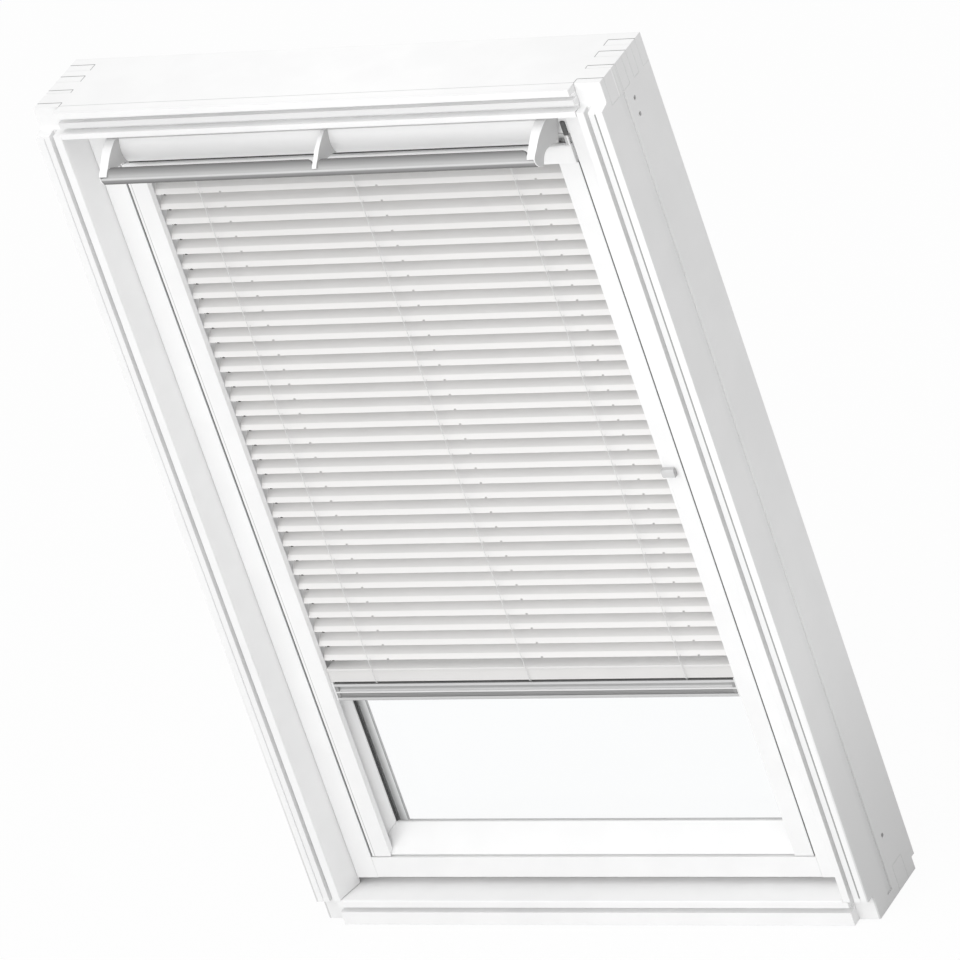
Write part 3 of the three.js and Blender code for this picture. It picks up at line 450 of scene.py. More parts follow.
def drawn_metal(name, level, roughness, metallic=1.0):
    """Metal with fine lines along its length."""
    kit = Kit(name)
    lines = kit.drawn_lines()
    tone = kit.drifting(lines, level - 0.05, level)
    rough = roughness + lines * 0.1 + kit.noise(30) * 0.04
    return kit.surface(Base_Color=tone, Metallic=metallic, Roughness=rough, Normal=kit.bump(lines, 0.2, 0.00002))


def spacer_aluminium(name, near, far):
    """Mill aluminium between the panes, with painted light that grows towards the outer pane, and darkened by the
    seal at its far edge.
    """
    kit = Kit(name)
    _, depth, _ = kit.millimetres()
    lines = kit.drawn_lines((0.01, 1, 0.01))
    # painted light: paler towards the outer pane
    tone = kit.blend(depth.above(near, far), grey(0.66), grey(0.97))
    tone = kit.blend(depth.above(far - 1.4, far - 0.6), tone, grey(0.6))
    normal = kit.bump(lines, 0.2, 0.00002)
    return kit.surface(Base_Color=tone, Metallic=0.2, Roughness=0.45 + lines * 0.1, Normal=normal)


def cover_finish(name, half, foot, top):
    """Grey coated metal, with painted light on the edges that face the glass."""
    kit = Kit(name)
    x, _, height = kit.millimetres()
    inside = (1 - x.size().above(half - 0.5, half)) * height.within(foot, top, 0.5)
    brushed = kit.noise(40, (0.05, 1, 1), 3)
    # painted light: the edges that face the glass are pale
    tone = kit.blend(inside, kit.blend(brushed, grey(0.39), grey(0.45)), grey(0.86))
    return kit.surface(Base_Color=tone, Metallic=0.4 - inside * 0.3, Roughness=0.45 + brushed * 0.1)


def make_glass():
    kit = Kit("pane_float_glass")
    clear = kit.add("ShaderNodeBsdfTransparent", None, {"Color": (0.997, 0.999, 1, 1)})
    gloss = kit.add("ShaderNodeBsdfGlossy", None, {"Color": (1, 1, 1, 1), "Roughness": 0.02})
    rim = kit.add("ShaderNodeLayerWeight", None, {"Blend": 0.12}, "Fresnel")
    mixed = kit.add("ShaderNodeMixShader", None, [rim * 0.35, clear, gloss])
    kit.feed(kit.output.inputs["Surface"], mixed)
    return kit.material


def make_cord():
    kit = Kit("ladder_braid")
    x, _, z = kit.place()
    twist = kit.add("ShaderNodeMath", {"operation": "SINE"}, [z * 5200 + x * 2600])
    tone = kit.blend(twist.above(-0.6, 0.6), grey(0.8), grey(0.92))
    return kit.surface(Base_Color=tone, Roughness=0.85, Normal=kit.bump(twist, 0.4, 0.0001))


# Painted reflections and shade over the height of the control bar and of the blind's grip, from the foot up
BAR_PAINTED_LIGHT_STOPS = ((0.0, 0.26), (0.08, 0.42), (0.2, 0.55), (0.33, 0.6), (0.37, 0.67), (0.41, 0.83), (0.45, 0.8),
             (0.5, 0.67), (0.7, 0.61), (0.9, 0.52), (0.97, 0.45), (1.0, 0.38))
GRIP_PAINTED_LIGHT_STOPS = ((0.0, 0.66), (0.03, 0.78), (0.18, 0.8), (0.2, 0.6), (0.44, 0.64), (0.46, 0.86), (0.54, 0.9),
              (0.57, 0.76), (0.7, 0.66), (0.82, 0.72), (0.84, 0.62), (0.87, 0.82), (0.97, 0.82), (1.0, 0.6))
GRIP_HEIGHT = 24.6
CHANNEL_FOLD = 308.6

frame_white = frame_lacquer("frame_white_lacquer", 0.955, 0.36)
sash_white = lacquer("sash_white_lacquer", 0.955, 0.36)
flap_white = lacquer("flap_white_lacquer", 0.978, 0.4)
# 0.8 is the painted shade level of the arms' sides
arm_white = arm_plastic("arm_white_plastic", 0.95, 0.8, 0.42)
channel_white = channel_plastic("channel_white_plastic", 0.95, 0.42, CHANNEL_FOLD)
# black rubber for the glazing, and a dark fill that paints shade in gaps
black_rubber_and_shade = dark_rubber("glazing_black_rubber", 0.24)
lit_foot_rubber = dark_rubber("foot_seal_rubber", 0.7)
# mid grey rubber; on the right stile seal it paints paler shade than the black on the left
seal_mid_grey = dark_rubber("flap_corner_rubber", 0.34)
root_grey = moulded("arm_root_plastic", 0.78, 0.5)
headrail_white = lacquer("headrail_white_enamel", 0.968, 0.34)
# 0.9 is the painted highlight level of the slats' lips
slat_enamel = strip_enamel("slat_white_enamel", 0.857, 0.9, 0.33, 0.004)
fascia_enamel = lacquer("fascia_white_enamel", 0.86, 0.4, 0.004)
bar_metal = banded_metal("bar_satin_aluminium", BAR_PAINTED_LIGHT_STOPS, BAR_LOW, BAR_TOP, 0.38, 0.55)
grip_metal = banded_metal("grip_satin_aluminium", GRIP_PAINTED_LIGHT_STOPS, RAIL_FOOT, RAIL_FOOT + GRIP_HEIGHT, 0.38, 0.4)
cover_metal = drawn_metal("cover_grey_coated_metal", 0.42, 0.5, 0.4)
spacer_metal = spacer_aluminium("spacer_mill_aluminium", SPACER_NEAR, SPACER_FAR)
pivot_metal = drawn_metal("pivot_zinc_steel", 0.7, 0.38)
cap_plastic = moulded("rail_cap_pale_plastic", 0.9, 0.45)
cap_dark = moulded("rail_stop_grey_plastic", 0.6, 0.5)
strip_white = moulded("draught_strip_white", 0.95, 0.5)
guide_black = dark_rubber("slat_guide_black", 0.1)
pin_grey = dark_rubber("head_pin_filler", 0.55)
knob_plastic = clear_knob("knob_clear_grey_plastic")
pane_glass = make_glass()
cord_braid = make_cord()

finishes = {
    "white_lacquer": sash_white,
    "flap_white": flap_white,
    "white_plastic": channel_white,
    "blind_white": headrail_white,
    "slat_white": slat_enamel,
    "bar_aluminium": bar_metal,
    "cover_grey": cover_metal,
    "spacer_metal": spacer_metal,
    "pivot_steel": pivot_metal,
    "pane_glass": pane_glass,
    "cord_white": cord_braid,
    "knob_grey": knob_plastic,
}
slot_of_node = {row["node"]: row["material_slot"] for row in frame["record"]["subparts"]}
for name, node in nodes.items():
    for slot in node.material_slots:
        slot.material = finishes[slot_of_node[name]]
        if name.startswith("frame_"):
            slot.material = frame_white
        if name.startswith("control_arm"):
            slot.material = arm_white


# Pieces drawn from their sections

def at(x, depth, height):
    """A place in millimetres, with its depth behind the front of the frame, in the shared frame."""
    return (x * MM, FRONT_Y + depth * MM, height * MM)


def fitted(name, mesh, body, slot, *stands_for, crease=30):
    """Puts a finished mesh in the scene as a piece of the window."""
    mesh.shade_smooth()
    mesh.set_sharp_from_angle(angle=math.radians(crease))
    piece = in_scene(name, mesh)
    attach(piece, body)
    if stands_for:
        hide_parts(*stands_for)
    return piece


def drawn_mesh(name, points, edges=(), faces=()):
    mesh = bpy.data.meshes.new(name)
    mesh.from_pydata(points, list(edges), list(faces))
    return mesh


def carried(name, material, rings, endless=False):
    """A solid from rings of places, each joined to the next; its ends are filled, or meet when endless."""
    count = len(rings[0])
    points = [at(*place) for ring in rings for place in ring]
    faces = []
    for row in range(len(rings) if endless else len(rings) - 1):
        near, far = row * count, (row + 1) % len(rings) * count
        for i in range(count):
            j = (i + 1) % count
            faces.append((near + i, near + j, far + j, far + i))
    if not endless:
        faces += [tuple(range(count)), tuple(range(len(points) - count, len(points)))]
    mesh = drawn_mesh(name, points, faces=faces)
    if material:
        mesh.materials.append(material)
    work = bmesh.new()
    work.from_mesh(mesh)
    bmesh.ops.remove_doubles(work, verts=work.verts, dist=MM / 100)
    bmesh.ops.recalc_face_normals(work, faces=work.faces)
    work.to_mesh(mesh)
    work.free()
    return mesh


def along_x(name, material, section, *stations):
    """A section of depths and heights carried through stations in X.

    A station is a place in X, or a function that gives it for a depth."""
    rings = [[(station(depth) if callable(station) else station, depth, height) for depth, height in section]
             for station in stations]
    return carried(name, material, rings)


def across(name, material, section, half, body, slot, *stands_for):
    """Fits a piece that has one section from side to side."""
    return fitted(name, along_x(name, material, section, -half, half), body, slot, *stands_for)


def upright(name, material, section, foot, top, body, slot):
    """Fits a piece that has one section of X places and depths all the way up."""
    rings = [[(x, depth, height) for x, depth in section] for height in (foot, top)]
    return fitted(name, carried(name, material, rings), body, slot)


def block(near, back, foot, top):
    """The section of a square block."""
    return [(near, foot), (near, top), (back, top), (back, foot)]


def mirrored(section, hand):
    """A section of X places and depths for the left side, -1, or the right one, 1."""
    return [(hand * x, depth) for x, depth in section]


def eased(points, steps=4, corner=38):
    """An outline whose gentle bends become curves through its points, and whose corners stay."""
    count = len(points)
    places = [Vector(point) for point in points]
    headings = []
    for i, place in enumerate(places):
        before, after = place - places[i - 1], places[(i + 1) % count] - place
        heading = (before.normalized() + after.normalized()).normalized()
        headings.append(None if before.angle(after) > math.radians(corner) else heading)
    line = []
    for i, start in enumerate(places):
        end = places[(i + 1) % count]
        chord = end - start
        leave = (headings[i] or chord.normalized()) * chord.length
        arrive = (headings[(i + 1) % count] or chord.normalized()) * chord.length
        straight = headings[i] is None and headings[(i + 1) % count] is None
        for step in range(1 if straight else steps):
            t = step / steps
            bend = (leave * (t - 2 * t ** 2 + t ** 3)) + (arrive * (t ** 3 - t ** 2))
            passed = 3 * t ** 2 - 2 * t ** 3
            line.append(tuple(start * (1 - 3 * t ** 2 + 2 * t ** 3) + end * passed + bend))
    return line


def cut_by(mesh, *cutters):
    """The mesh with the cutters' room taken out of it."""
    work = in_scene("work", mesh)
    tools = [in_scene("tool", cutter) for cutter in cutters]
    for tool in tools:
        modifier = work.modifiers.new("cut", "BOOLEAN")
        modifier.operation = "DIFFERENCE"
        modifier.solver = "EXACT"
        modifier.object = tool
    result = finished(work)
    for item in (work, *tools):
        bpy.data.objects.remove(item)
    return result


def softened(piece, width, segments=2, angle=35):
    """Breaks the edges of a piece."""
    modifier = piece.modifiers.new("broken_edges", "BEVEL")
    modifier.width = width * MM
    modifier.segments = segments
    modifier.limit_method = "ANGLE"
    modifier.angle_limit = math.radians(angle)
    return piece


# Slats: each leaf is pressed from a flat strip with its cord notches cut
SLAT_COUNT = 33
SLAT_PITCH = 20.95
FIRST_SLAT = HEADRAIL_FOOT - 15.2
SLAT_AXIS_DEPTH = 52
SLAT_TILT = math.radians(38)
SLAT_WIDTH, SLAT_THICKNESS, SLAT_CROWN = 25, 0.5, 1.6
LIP_EDGE, LIP_FOLD = 6.35, 0.28
LADDER_INSET, CORD_SIDESTEP = 66, 25
LADDER_PLACES = (LADDER_INSET - SLAT_END, 0, SLAT_END - LADDER_INSET)
NOTCH_PLACES = [place + CORD_SIDESTEP for place in LADDER_PLACES]
NOTCH_WIDTH, NOTCH_REACH = 3, 1.6
RUNG_REACH, RUNG_RADIUS, RUNG_DROP = 13.2, 0.35, 1.5
STRING_REACH, STRING_RADIUS = 13.6, 0.45


def slat_blank():
    """Flat strip, denser where the lip folds, with a bite for each lift cord in its front edge."""
    half = SLAT_WIDTH / 2
    rows = (half, 9.5, 6, 2, -2, -6.2, -6.5, -8.5, NOTCH_REACH - half, -half)
    stations = [(-SLAT_END, False)]
    for place in NOTCH_PLACES:
        stations += [(place - NOTCH_WIDTH / 2, True), (place + NOTCH_WIDTH / 2, False)]
    stations.append((SLAT_END, False))
    points = [(x * MM, v * MM, 0) for x, _ in stations for v in rows]
    faces = []
    for i, (_, bitten) in enumerate(stations[:-1]):
        for j in range(len(rows) - 1):
            if bitten and j == len(rows) - 2:
                continue
            corner = i * len(rows) + j
            faces.append((corner, corner + 1, corner + len(rows) + 1, corner + len(rows)))
    mesh = drawn_mesh("slat_blank", points, faces=faces)
    lip = mesh.attributes.new("lip", "FLOAT", "POINT")
    for point, (_, v, _) in zip(lip.data, points):
        point.value = float(v < -6.4 * MM)
    return mesh


def slat_press():
    press = Former("slat_press", "Width", "Crown", "Lip", "Fold", "Thickness", "Tilt", "Depth", "Height")
    width, crown, lip, fold, thickness, tilt, depth, height = press.sizes
    _, v, _ = press.split(press.add("GeometryNodeInputPosition"))
    share = v / (width * 0.5)
    rise = crown * (0.5 - share * share)
    drop = (lip - width * 0.5 - v).most(0) * fold
    pressed = press.add("GeometryNodeSetPosition", None,
                        {"Geometry": press.start, "Offset": press.vector(0, 0, rise - drop)})
    raised = press.add("GeometryNodeExtrudeMesh", {"mode": "FACES"},
                       {"Mesh": pressed, "Offset Scale": thickness, "Individual": False})
    under = press.add("GeometryNodeFlipFaces", None, {"Mesh": pressed})
    leaf = press.add("GeometryNodeMergeByDistance", None,
                     {"Geometry": press.together(raised, under), "Distance": MM / 50})
    hung = press.moved(leaf, press.vector(0, depth, height), press.vector(tilt, 0, 0))
    return press.ending(hung, slat_enamel)


def rung_former():
    """The rungs of the three ladders under one slat."""
    former = Former("ladder_rungs", "Spacing", "Reach", "Radius", "Drop", "Tilt", "Depth", "Height")
    spacing, reach, radius, drop, tilt, depth, height = former.sizes
    row = former.add("GeometryNodeMeshLine", None,
                     {"Count": 3, "Start Location": former.vector(-1 * spacing, 0, 0),
                      "Offset": former.vector(spacing, 0, 0)})
    ends = {"Start": former.vector(0, -1 * reach, -1 * drop), "End": former.vector(0, reach, -1 * drop)}
    cord = former.swept(former.add("GeometryNodeCurvePrimitiveLine", None, ends), radius, 5)
    rungs = former.add("GeometryNodeInstanceOnPoints", None, {"Points": row, "Instance": cord})
    hung = former.moved(rungs, former.vector(0, depth, height), former.vector(tilt, 0, 0))
    return former.ending(hung, cord_braid)


def guide_former():
    """The guide of a slat's left end: a dark eyelet at the lip and a thin pin below it."""
    former = Former("slat_guide", "End", "Half", "Tilt", "Depth", "Height")
    end, half, tilt, depth, height = former.sizes
    eyelet = former.add("GeometryNodeMeshCylinder", None, {"Vertices": 12, "Radius": 2 * MM, "Depth": 1 * MM})
    eyelet = former.moved(eyelet, former.vector(-1 * end + 12.4 * MM, -0.1 * MM - half, -2.9 * MM),
                          (math.pi / 2, 0, 0), (1, 0.5, 1))
    pin = former.add("GeometryNodeMeshCylinder", None, {"Vertices": 8, "Radius": 0.45 * MM, "Depth": 1.8 * MM})
    pin = former.moved(pin, former.vector(-1 * end + 7.2 * MM, 0.6 * MM - half, -3.7 * MM))
    hung = former.moved(former.together(eyelet, pin), former.vector(0, depth, height), former.vector(tilt, 0, 0))
    return former.ending(hung, guide_black)


def cord_former():
    """A cord laid along the edges of its start mesh."""
    former = Former("laid_cord", "Radius")
    path = former.add("GeometryNodeMeshToCurve", None, {"Mesh": former.start})
    return former.ending(former.swept(path, former.sizes[0], 6), cord_braid)


def stud_former(name, material, sides):
    """A round stud on every point of its start mesh, turned about the Y axis and stretched along it."""
    former = Former(name, "Radius", "Thickness", "Turn", "Length")
    radius, thickness, turn, length = former.sizes
    stud = former.add("GeometryNodeMeshCylinder", None, {"Vertices": sides, "Radius": radius, "Depth": thickness})
    stretched = former.moved(stud, (0, 0, 0), (0, 0, 0), former.vector(1, length, 1))
    studs = former.add("GeometryNodeInstanceOnPoints", None,
                       {"Points": former.start, "Instance": stretched, "Rotation": former.vector(0, turn, 0)})
    return former.ending(studs, material)


def marks(name, *places, edges=()):
    return drawn_mesh(name, [at(*place) for place in places], edges)


blank = slat_blank()
leaf_tree, rung_tree, guide_tree = slat_press(), rung_former(), guide_former()
nothing = marks("nothing", (0, 0, 0))
for index in range(SLAT_COUNT):
    slat = f"slat_{index + 1:02d}"
    hang = {"Tilt": SLAT_TILT, "Depth": FRONT_Y + SLAT_AXIS_DEPTH * MM,
            "Height": (FIRST_SLAT - index * SLAT_PITCH) * MM}
    leaf = formed(f"{slat}_leaf", leaf_tree, blank, Width=SLAT_WIDTH * MM, Crown=SLAT_CROWN * MM,
                  Lip=LIP_EDGE * MM, Fold=LIP_FOLD, Thickness=SLAT_THICKNESS * MM, **hang)
    fitted(leaf.name, leaf, slat, "slat_white", slat, crease=9)
    rungs = formed(f"{slat}_rungs", rung_tree, nothing, Spacing=LADDER_PLACES[2] * MM,
                   Reach=RUNG_REACH * MM, Radius=RUNG_RADIUS * MM, Drop=RUNG_DROP * MM, **hang)
    fitted(rungs.name, rungs, slat, "cord_white")
    guide = formed(f"{slat}_guide", guide_tree, nothing, End=SLAT_END * MM, Half=SLAT_WIDTH / 2 * MM, **hang)
    fitted(guide.name, guide, slat, "cover_grey")

# Ladder strings: down the front and back of the slats and into the gap of the bottom rail
gap = RAIL_FOOT + 26
near, back = SLAT_AXIS_DEPTH - STRING_REACH, SLAT_AXIS_DEPTH + STRING_REACH
STRING_ROUTE = ((near, HEADRAIL_FOOT + 4.5), (near, gap + 6), (near + 0.6, gap + 2), (near + 2.4, gap),
                (near + 5, gap), (back, HEADRAIL_FOOT + 4.5), (back, gap + 6), (back - 0.6, gap + 2),
                (back - 1.4, gap))
cord_tree = cord_former()
for side, place in zip(("left", "middle", "right"), LADDER_PLACES):
    route = [(place, depth, height) for depth, height in STRING_ROUTE]
    path = marks("path", *route, edges=((0, 1), (1, 2), (2, 3), (3, 4), (5, 6), (6, 7), (7, 8)))
    strings = formed(f"ladder_strings_{side}", cord_tree, path, Radius=STRING_RADIUS * MM)
    fitted(strings.name, strings, "sash", "cord_white", f"cord_ladder_{side}")

# Bottom rail: white fascia with its lip, shadow gap, drawn grip, end caps. Depths are behind the
# rail's front and heights above its foot.
CAP = 2.6
STOP_WIDTH = 5
BACK, TOP = RAIL_BACK - RAIL_NEAR, RAIL_TOP - RAIL_FOOT
LIP_ROWS = ((0.5, 43.2), (0, 44), (0, 45.6), (0.7, 46.6), (2, TOP), (BACK, TOP), (BACK, 43.2))
GRIP_ROWS = ((0.4, GRIP_HEIGHT), (0, 24.1), (0, 21.2), (1.3, 20.7), (2.4, 19), (2.9, 17.2), (2.5, 15.4),
             (1.3, 14), (0.2, 13.6), (0, 13), (0, 12.2), (0.3, 11.4), (1.7, 11.2), (1.7, 9.8), (1.1, 9.6),
             (1.1, 9.1), (1.7, 8.9), (1.7, 7.5), (1.1, 7.3), (1.1, 6.8), (1.7, 6.6), (1.7, 5.2), (0.3, 5),
             (0, 4.5), (0, 1.4), (0.6, 0.4), (1.6, 0), (BACK, 0), (BACK, GRIP_HEIGHT))
CAP_ROWS = ((0.6, 0), (0, 1), (0, 26.2), (0.6, 27.2), (BACK, 27.2), (BACK, 0))


def rail_section(rows):
    return [(RAIL_NEAR + depth, RAIL_FOOT + height) for depth, height in rows]


across("bottom_rail_fascia", fascia_enamel, rail_section(block(1.5, BACK, 27.4, 43)), SLAT_END, "sash",
       "slat_white", "blind_bottom_rail")
across("bottom_rail_lip", slat_enamel, rail_section(LIP_ROWS), SLAT_END, "sash", "slat_white")
across("bottom_rail_grip", grip_metal, rail_section(GRIP_ROWS), SLAT_END - CAP, "sash", "bar_aluminium")
# painted shade: a dark strip fills the shadow gap between the fascia and the grip
across("bottom_rail_gap", black_rubber_and_shade, rail_section(block(4.2, BACK - 0.3, 24.8, 27.2)), SLAT_END - CAP, "sash",
       "cover_grey")
for side, hand in SIDES:
    cap = along_x(f"bottom_rail_cap_{side}", cap_plastic, rail_section(CAP_ROWS), hand * (SLAT_END - CAP),
                  hand * SLAT_END)
    softened(fitted(cap.name, cap, "sash", "knob_grey"), 0.4)
    stop = along_x(f"bottom_rail_stop_{side}", cap_dark, rail_section(block(0.3, 2.2, 5.4, 20.4)),
                   hand * (SLAT_END - CAP - STOP_WIDTH), hand * (SLAT_END - CAP - FIT))
    softened(fitted(stop.name, stop, "sash", "cover_grey"), 0.9, 3)

# Control bar: the drawn section with its curves, notched for the arms
BAR_SHARES = ((0.9, 0), (0.69, 0), (0.45, 0.05), (0.15, 0.25), (0.02, 0.37), (0.02, 0.45), (0.15, 0.5),
              (0.38, 0.6), (0.55, 0.74), (0.68, 0.88), (0.74, 0.97), (0.83, 1), (0.95, 1), (1, 0.94),
              (0.97, 0.8), (0.82, 0.62), (0.6, 0.5), (0.3, 0.4), (0.42, 0.25), (0.62, 0.12), (0.9, 0.08))
BAR_HEIGHT, BAR_DEPTH, BAR_PROUD = 22, 8, 30
BAR_NOTCH, BAR_ROUND = 12.5, 7
BAR_FOOT = BAR_TOP - BAR_HEIGHT
# How far a cutter reaches past what it cuts
PAST = 6
bar_section = eased([(share * BAR_DEPTH - BAR_PROUD, BAR_FOOT + rise * BAR_HEIGHT) for share, rise in BAR_SHARES])


def notch(low, high, round_low, round_high):
    """Cutter for a notch in the bar's upper part, opened out in a curve at the ends that are rounded."""
    shoulder, top = BAR_FOOT + BAR_NOTCH, BAR_TOP + PAST
    angles = [math.radians(15 * step) for step in range(7)]
    curve = [(BAR_ROUND * (1 - math.cos(angle)), BAR_TOP - BAR_ROUND * (1 - math.sin(angle))) for angle in angles]
    outline = [(low, shoulder), (high, shoulder)]
    if round_high:
        outline += [(high + out, height) for out, height in curve]
    outline += [(high + BAR_ROUND * round_high, top), (low - BAR_ROUND * round_low, top)]
    if round_low:
        outline += [(low - out, height) for out, height in reversed(curve)]
    ends = (-BAR_PROUD - PAST, BAR_DEPTH - BAR_PROUD + PAST)
    return carried("bar_notch", None, [[(x, depth, height) for x, height in outline] for depth in ends])


ARM_MIDDLE_HALF = 3
edge = ARM_INSIDE - FIT
bar_mesh = along_x("control_bar_drawn", bar_metal, bar_section, -BAR_END, BAR_END)
bar_mesh = cut_by(bar_mesh, notch(-ARM_MIDDLE_HALF - FIT, ARM_MIDDLE_HALF + FIT, 1, 1),
                  notch(edge, BAR_END + 8, 1, 0), notch(-BAR_END - 8, -edge, 0, 1))
fitted("control_bar_drawn", bar_mesh, "flap", "bar_aluminium", "control_bar")

# Control arms, curved from the hinge to the bar
ARM_SHARES = ((0, -0.24), (0.28, -0.28), (0.34, -0.29), (0.4, -0.26), (0.464, -0.21), (0.608, -0.08),
              (0.743, 0.09), (0.861, 0.28), (0.963, 0.42), (1, 0.5), (1, 0.66), (0.92, 0.883), (0.805, 1),
              (0.76, 0.87), (0.697, 0.708), (0.64, 0.64), (0.573, 0.6), (0.49, 0.61), (0.409, 0.625),
              (0.344, 0.65), (0.19, 0.775), (0, 0))
ARM_REACH, ARM_DROP = HINGE_DEPTH + BAR_PROUD - 0.4, 34.3
ARM_SPREAD, ARM_THICKNESS = 5.2, 10.5
arm_outline = eased([(HINGE_DEPTH - reach * ARM_REACH, HINGE_HEIGHT - drop * ARM_DROP) for reach, drop in ARM_SHARES])
bar_room = block(-BAR_PROUD - PAST, BAR_DEPTH - BAR_PROUD + FIT, BAR_FOOT - PAST, BAR_FOOT + BAR_NOTCH + FIT)


def arm_outside(hand):
    """The outer face of an end arm, which spreads towards the hinge."""
    def place(depth):
        return hand * (ARM_INSIDE + ARM_THICKNESS + ARM_SPREAD * (depth + BAR_PROUD) / (HINGE_DEPTH + BAR_PROUD))
    return place


for side, hand in SIDES:
    arm = along_x("arm", arm_white, arm_outline, hand * ARM_INSIDE, arm_outside(hand))
    room = along_x("room", arm_white, bar_room, hand * (ARM_INSIDE - PAST), hand * (BAR_END + FIT))
    arm = cut_by(arm, room)
    arm.name = f"control_arm_{side}_smooth"
    softened(fitted(arm.name, arm, "flap", "white_plastic", f"control_arm_{side}"), 0.35)

# Flap: the curved panel on its hinge bead
FLAP_FRONT = ((0.05, -0.27), (0.75, -0.27), (0.83, -0.25), (0.94, 0.01), (1, 0.31), (0.985, 0.48), (0.89, 0.77),
              (0.71, 0.94), (0.66, 1))
FLAP_BACK = ((0.6, 0.97), (0.62, 0.9), (0.78, 0.72), (0.87, 0.47), (0.88, 0.31), (0.83, 0.03), (0.74, -0.16),
             (0.3, -0.16), (0.05, -0.1))
FLAP_REACH, FLAP_DROP = 19.7, 26.9
BEAD_RADIUS = 4


def flap_line(shares, ahead=0):
    return [(HINGE_DEPTH - reach * FLAP_REACH - ahead, HINGE_HEIGHT - drop * FLAP_DROP) for reach, drop in shares]


bead_angles = [math.radians(15 * step) for step in range(24)]
bead = [(HINGE_DEPTH + BEAD_RADIUS * math.cos(angle), HINGE_HEIGHT + BEAD_RADIUS * math.sin(angle))
        for angle in bead_angles]
across("vent_flap_panel", flap_white, eased(flap_line(FLAP_FRONT + FLAP_BACK), corner=30), FLAP_END, "flap",
       "flap_white", "vent_flap")
across("vent_flap_bead", flap_white, bead, FLAP_END, "flap", "flap_white")

# The middle arm stops at the bar and in front of the flap
MIDDLE_ROOM, BEHIND_FLAP = 9, 42
middle = along_x("arm", arm_white, arm_outline, -ARM_MIDDLE_HALF, ARM_MIDDLE_HALF)
(first_depth, first_height), (next_depth, next_height), *rest = flap_line(FLAP_FRONT, FIT)
below = HINGE_HEIGHT - ARM_DROP - PAST
behind = [(first_depth, first_height + PAST), (next_depth, next_height + PAST), *rest, (rest[-1][0], below),
          (BEHIND_FLAP, below), (BEHIND_FLAP, first_height + PAST)]
rooms = [along_x("room", arm_white, section, -MIDDLE_ROOM, MIDDLE_ROOM) for section in (bar_room, behind)]
middle = cut_by(middle, *rooms)
middle.name = "control_arm_middle_smooth"
softened(fitted(middle.name, middle, "flap", "white_plastic", "control_arm_middle"), 0.3)

# Seals between flap, sash and frame
low = HINGE_HEIGHT - FLAP_DROP
FLAP_LIP = ((22, low - 0.1), (21.6, low - 1.1), (22.4, low - 2), (24.6, low - 1.6), (25, low + 0.6))
across("flap_lip_seal", black_rubber_and_shade, FLAP_LIP, FLAP_END, "flap", "cover_grey")
# Strips on the frame in its gap round the sash: depths, and heights from the frame towards the sash
SASH_GAP = 10.16
DRAUGHT_STRIP = ((78, 0), (78, 7.4), (79, 8.5), (81, 8.5), (82, 7.4), (82, 0))
for end, foot, rise in (("sill", SASH_FOOT - SASH_GAP, 1), ("head", SASH_TOP + SASH_GAP, -1)):
    strip = [(depth, foot + rise * height) for depth, height in DRAUGHT_STRIP]
    across(f"{end}_draught_strip", strip_white, strip, JAMB_INSIDE_MM - 0.1, "frame", "white_lacquer")
# Groove of a stile inwards from its outer face, and the depths of the seals that stand in it
STILE_GROOVE, SEAL_BACK, SEAL_NOSES = 30, 43.8, {"left": 37.7, "right": 36.7}
# Small blocks where the flap meets the sash: near depth, heights and X places
CORNER_BACK = 35.8
CORNER_BLOCKS = (("flap_corner_seal", seal_mid_grey, "cover_grey", 33.6, (1098.5, 1117), (307, 312.8)),
                 ("arm_root_cover", root_grey, "knob_grey", 34.4, (1085.6, 1098), (305.8, 308.8)),
                 ("flap_corner_strip", sash_white, "white_lacquer", 34.2, (1083.5, 1098), (309, 311)))
for side, hand in SIDES:
    nose, groove = SEAL_NOSES[side], SASH_SIDE - STILE_GROOVE
    seal = [(groove - 0.2, SEAL_BACK), (groove - 0.2, nose + 0.7), (groove - 0.7, nose), (groove - 1.9, nose),
            (groove - 2.4, nose + 0.7), (groove - 2.4, SEAL_BACK)]
    # painted shade: the stile seals are dark strips standing for the shade in the gap beside the stile, the right one
    # paler than the left
    upright(f"stile_seal_{side}", seal_mid_grey if side == "right" else black_rubber_and_shade, mirrored(seal, hand),
            SASH_FOOT + 31.5, HEADRAIL_FOOT - 1, "sash", "cover_grey")
    jamb, beside = JAMB_INSIDE_MM - 0.05, SASH_SIDE + 0.6
    strip = [(jamb, 2), (jamb - 0.25, 2), (beside, 36.8), (beside, 39), (jamb, 39)]
    upright(f"jamb_draught_strip_{side}", strip_white, mirrored(strip, hand), SASH_FOOT - 9, SASH_TOP + 9,
            "frame", "white_lacquer")
    for name, material, slot, near, heights, places in CORNER_BLOCKS:
        corner = along_x(f"{name}_{side}", material, block(near, CORNER_BACK, *heights), *[hand * x for x in places])
        fitted(corner.name, corner, "sash", slot)

# Glazing: a thin rubber round the inner pane, thinnest at the foot, and the spacer behind it
SIGHT = SASH_SIDE - SIGHT_INSET
SIGHT_FOOT, SIGHT_TOP = SASH_FOOT + SIGHT_INSET, SASH_TOP - SIGHT_INSET
# Depths of the rubber, and how far it shows inside the sash
GASKET_BACK = 70.75
GASKET = ((68.4, 0), (69.9, 2.2), (GASKET_BACK, 2.2), (GASKET_BACK, 0))
for side, hand in SIDES:
    rubber = mirrored([(SIGHT - inset, depth) for depth, inset in GASKET], hand)
    upright(f"glazing_gasket_{side}", black_rubber_and_shade, rubber, SIGHT_FOOT, SIGHT_TOP, "sash", "cover_grey")
rubber = [(depth, SIGHT_TOP - inset) for depth, inset in GASKET]
across("glazing_gasket_top", black_rubber_and_shade, rubber, SIGHT, "sash", "cover_grey")
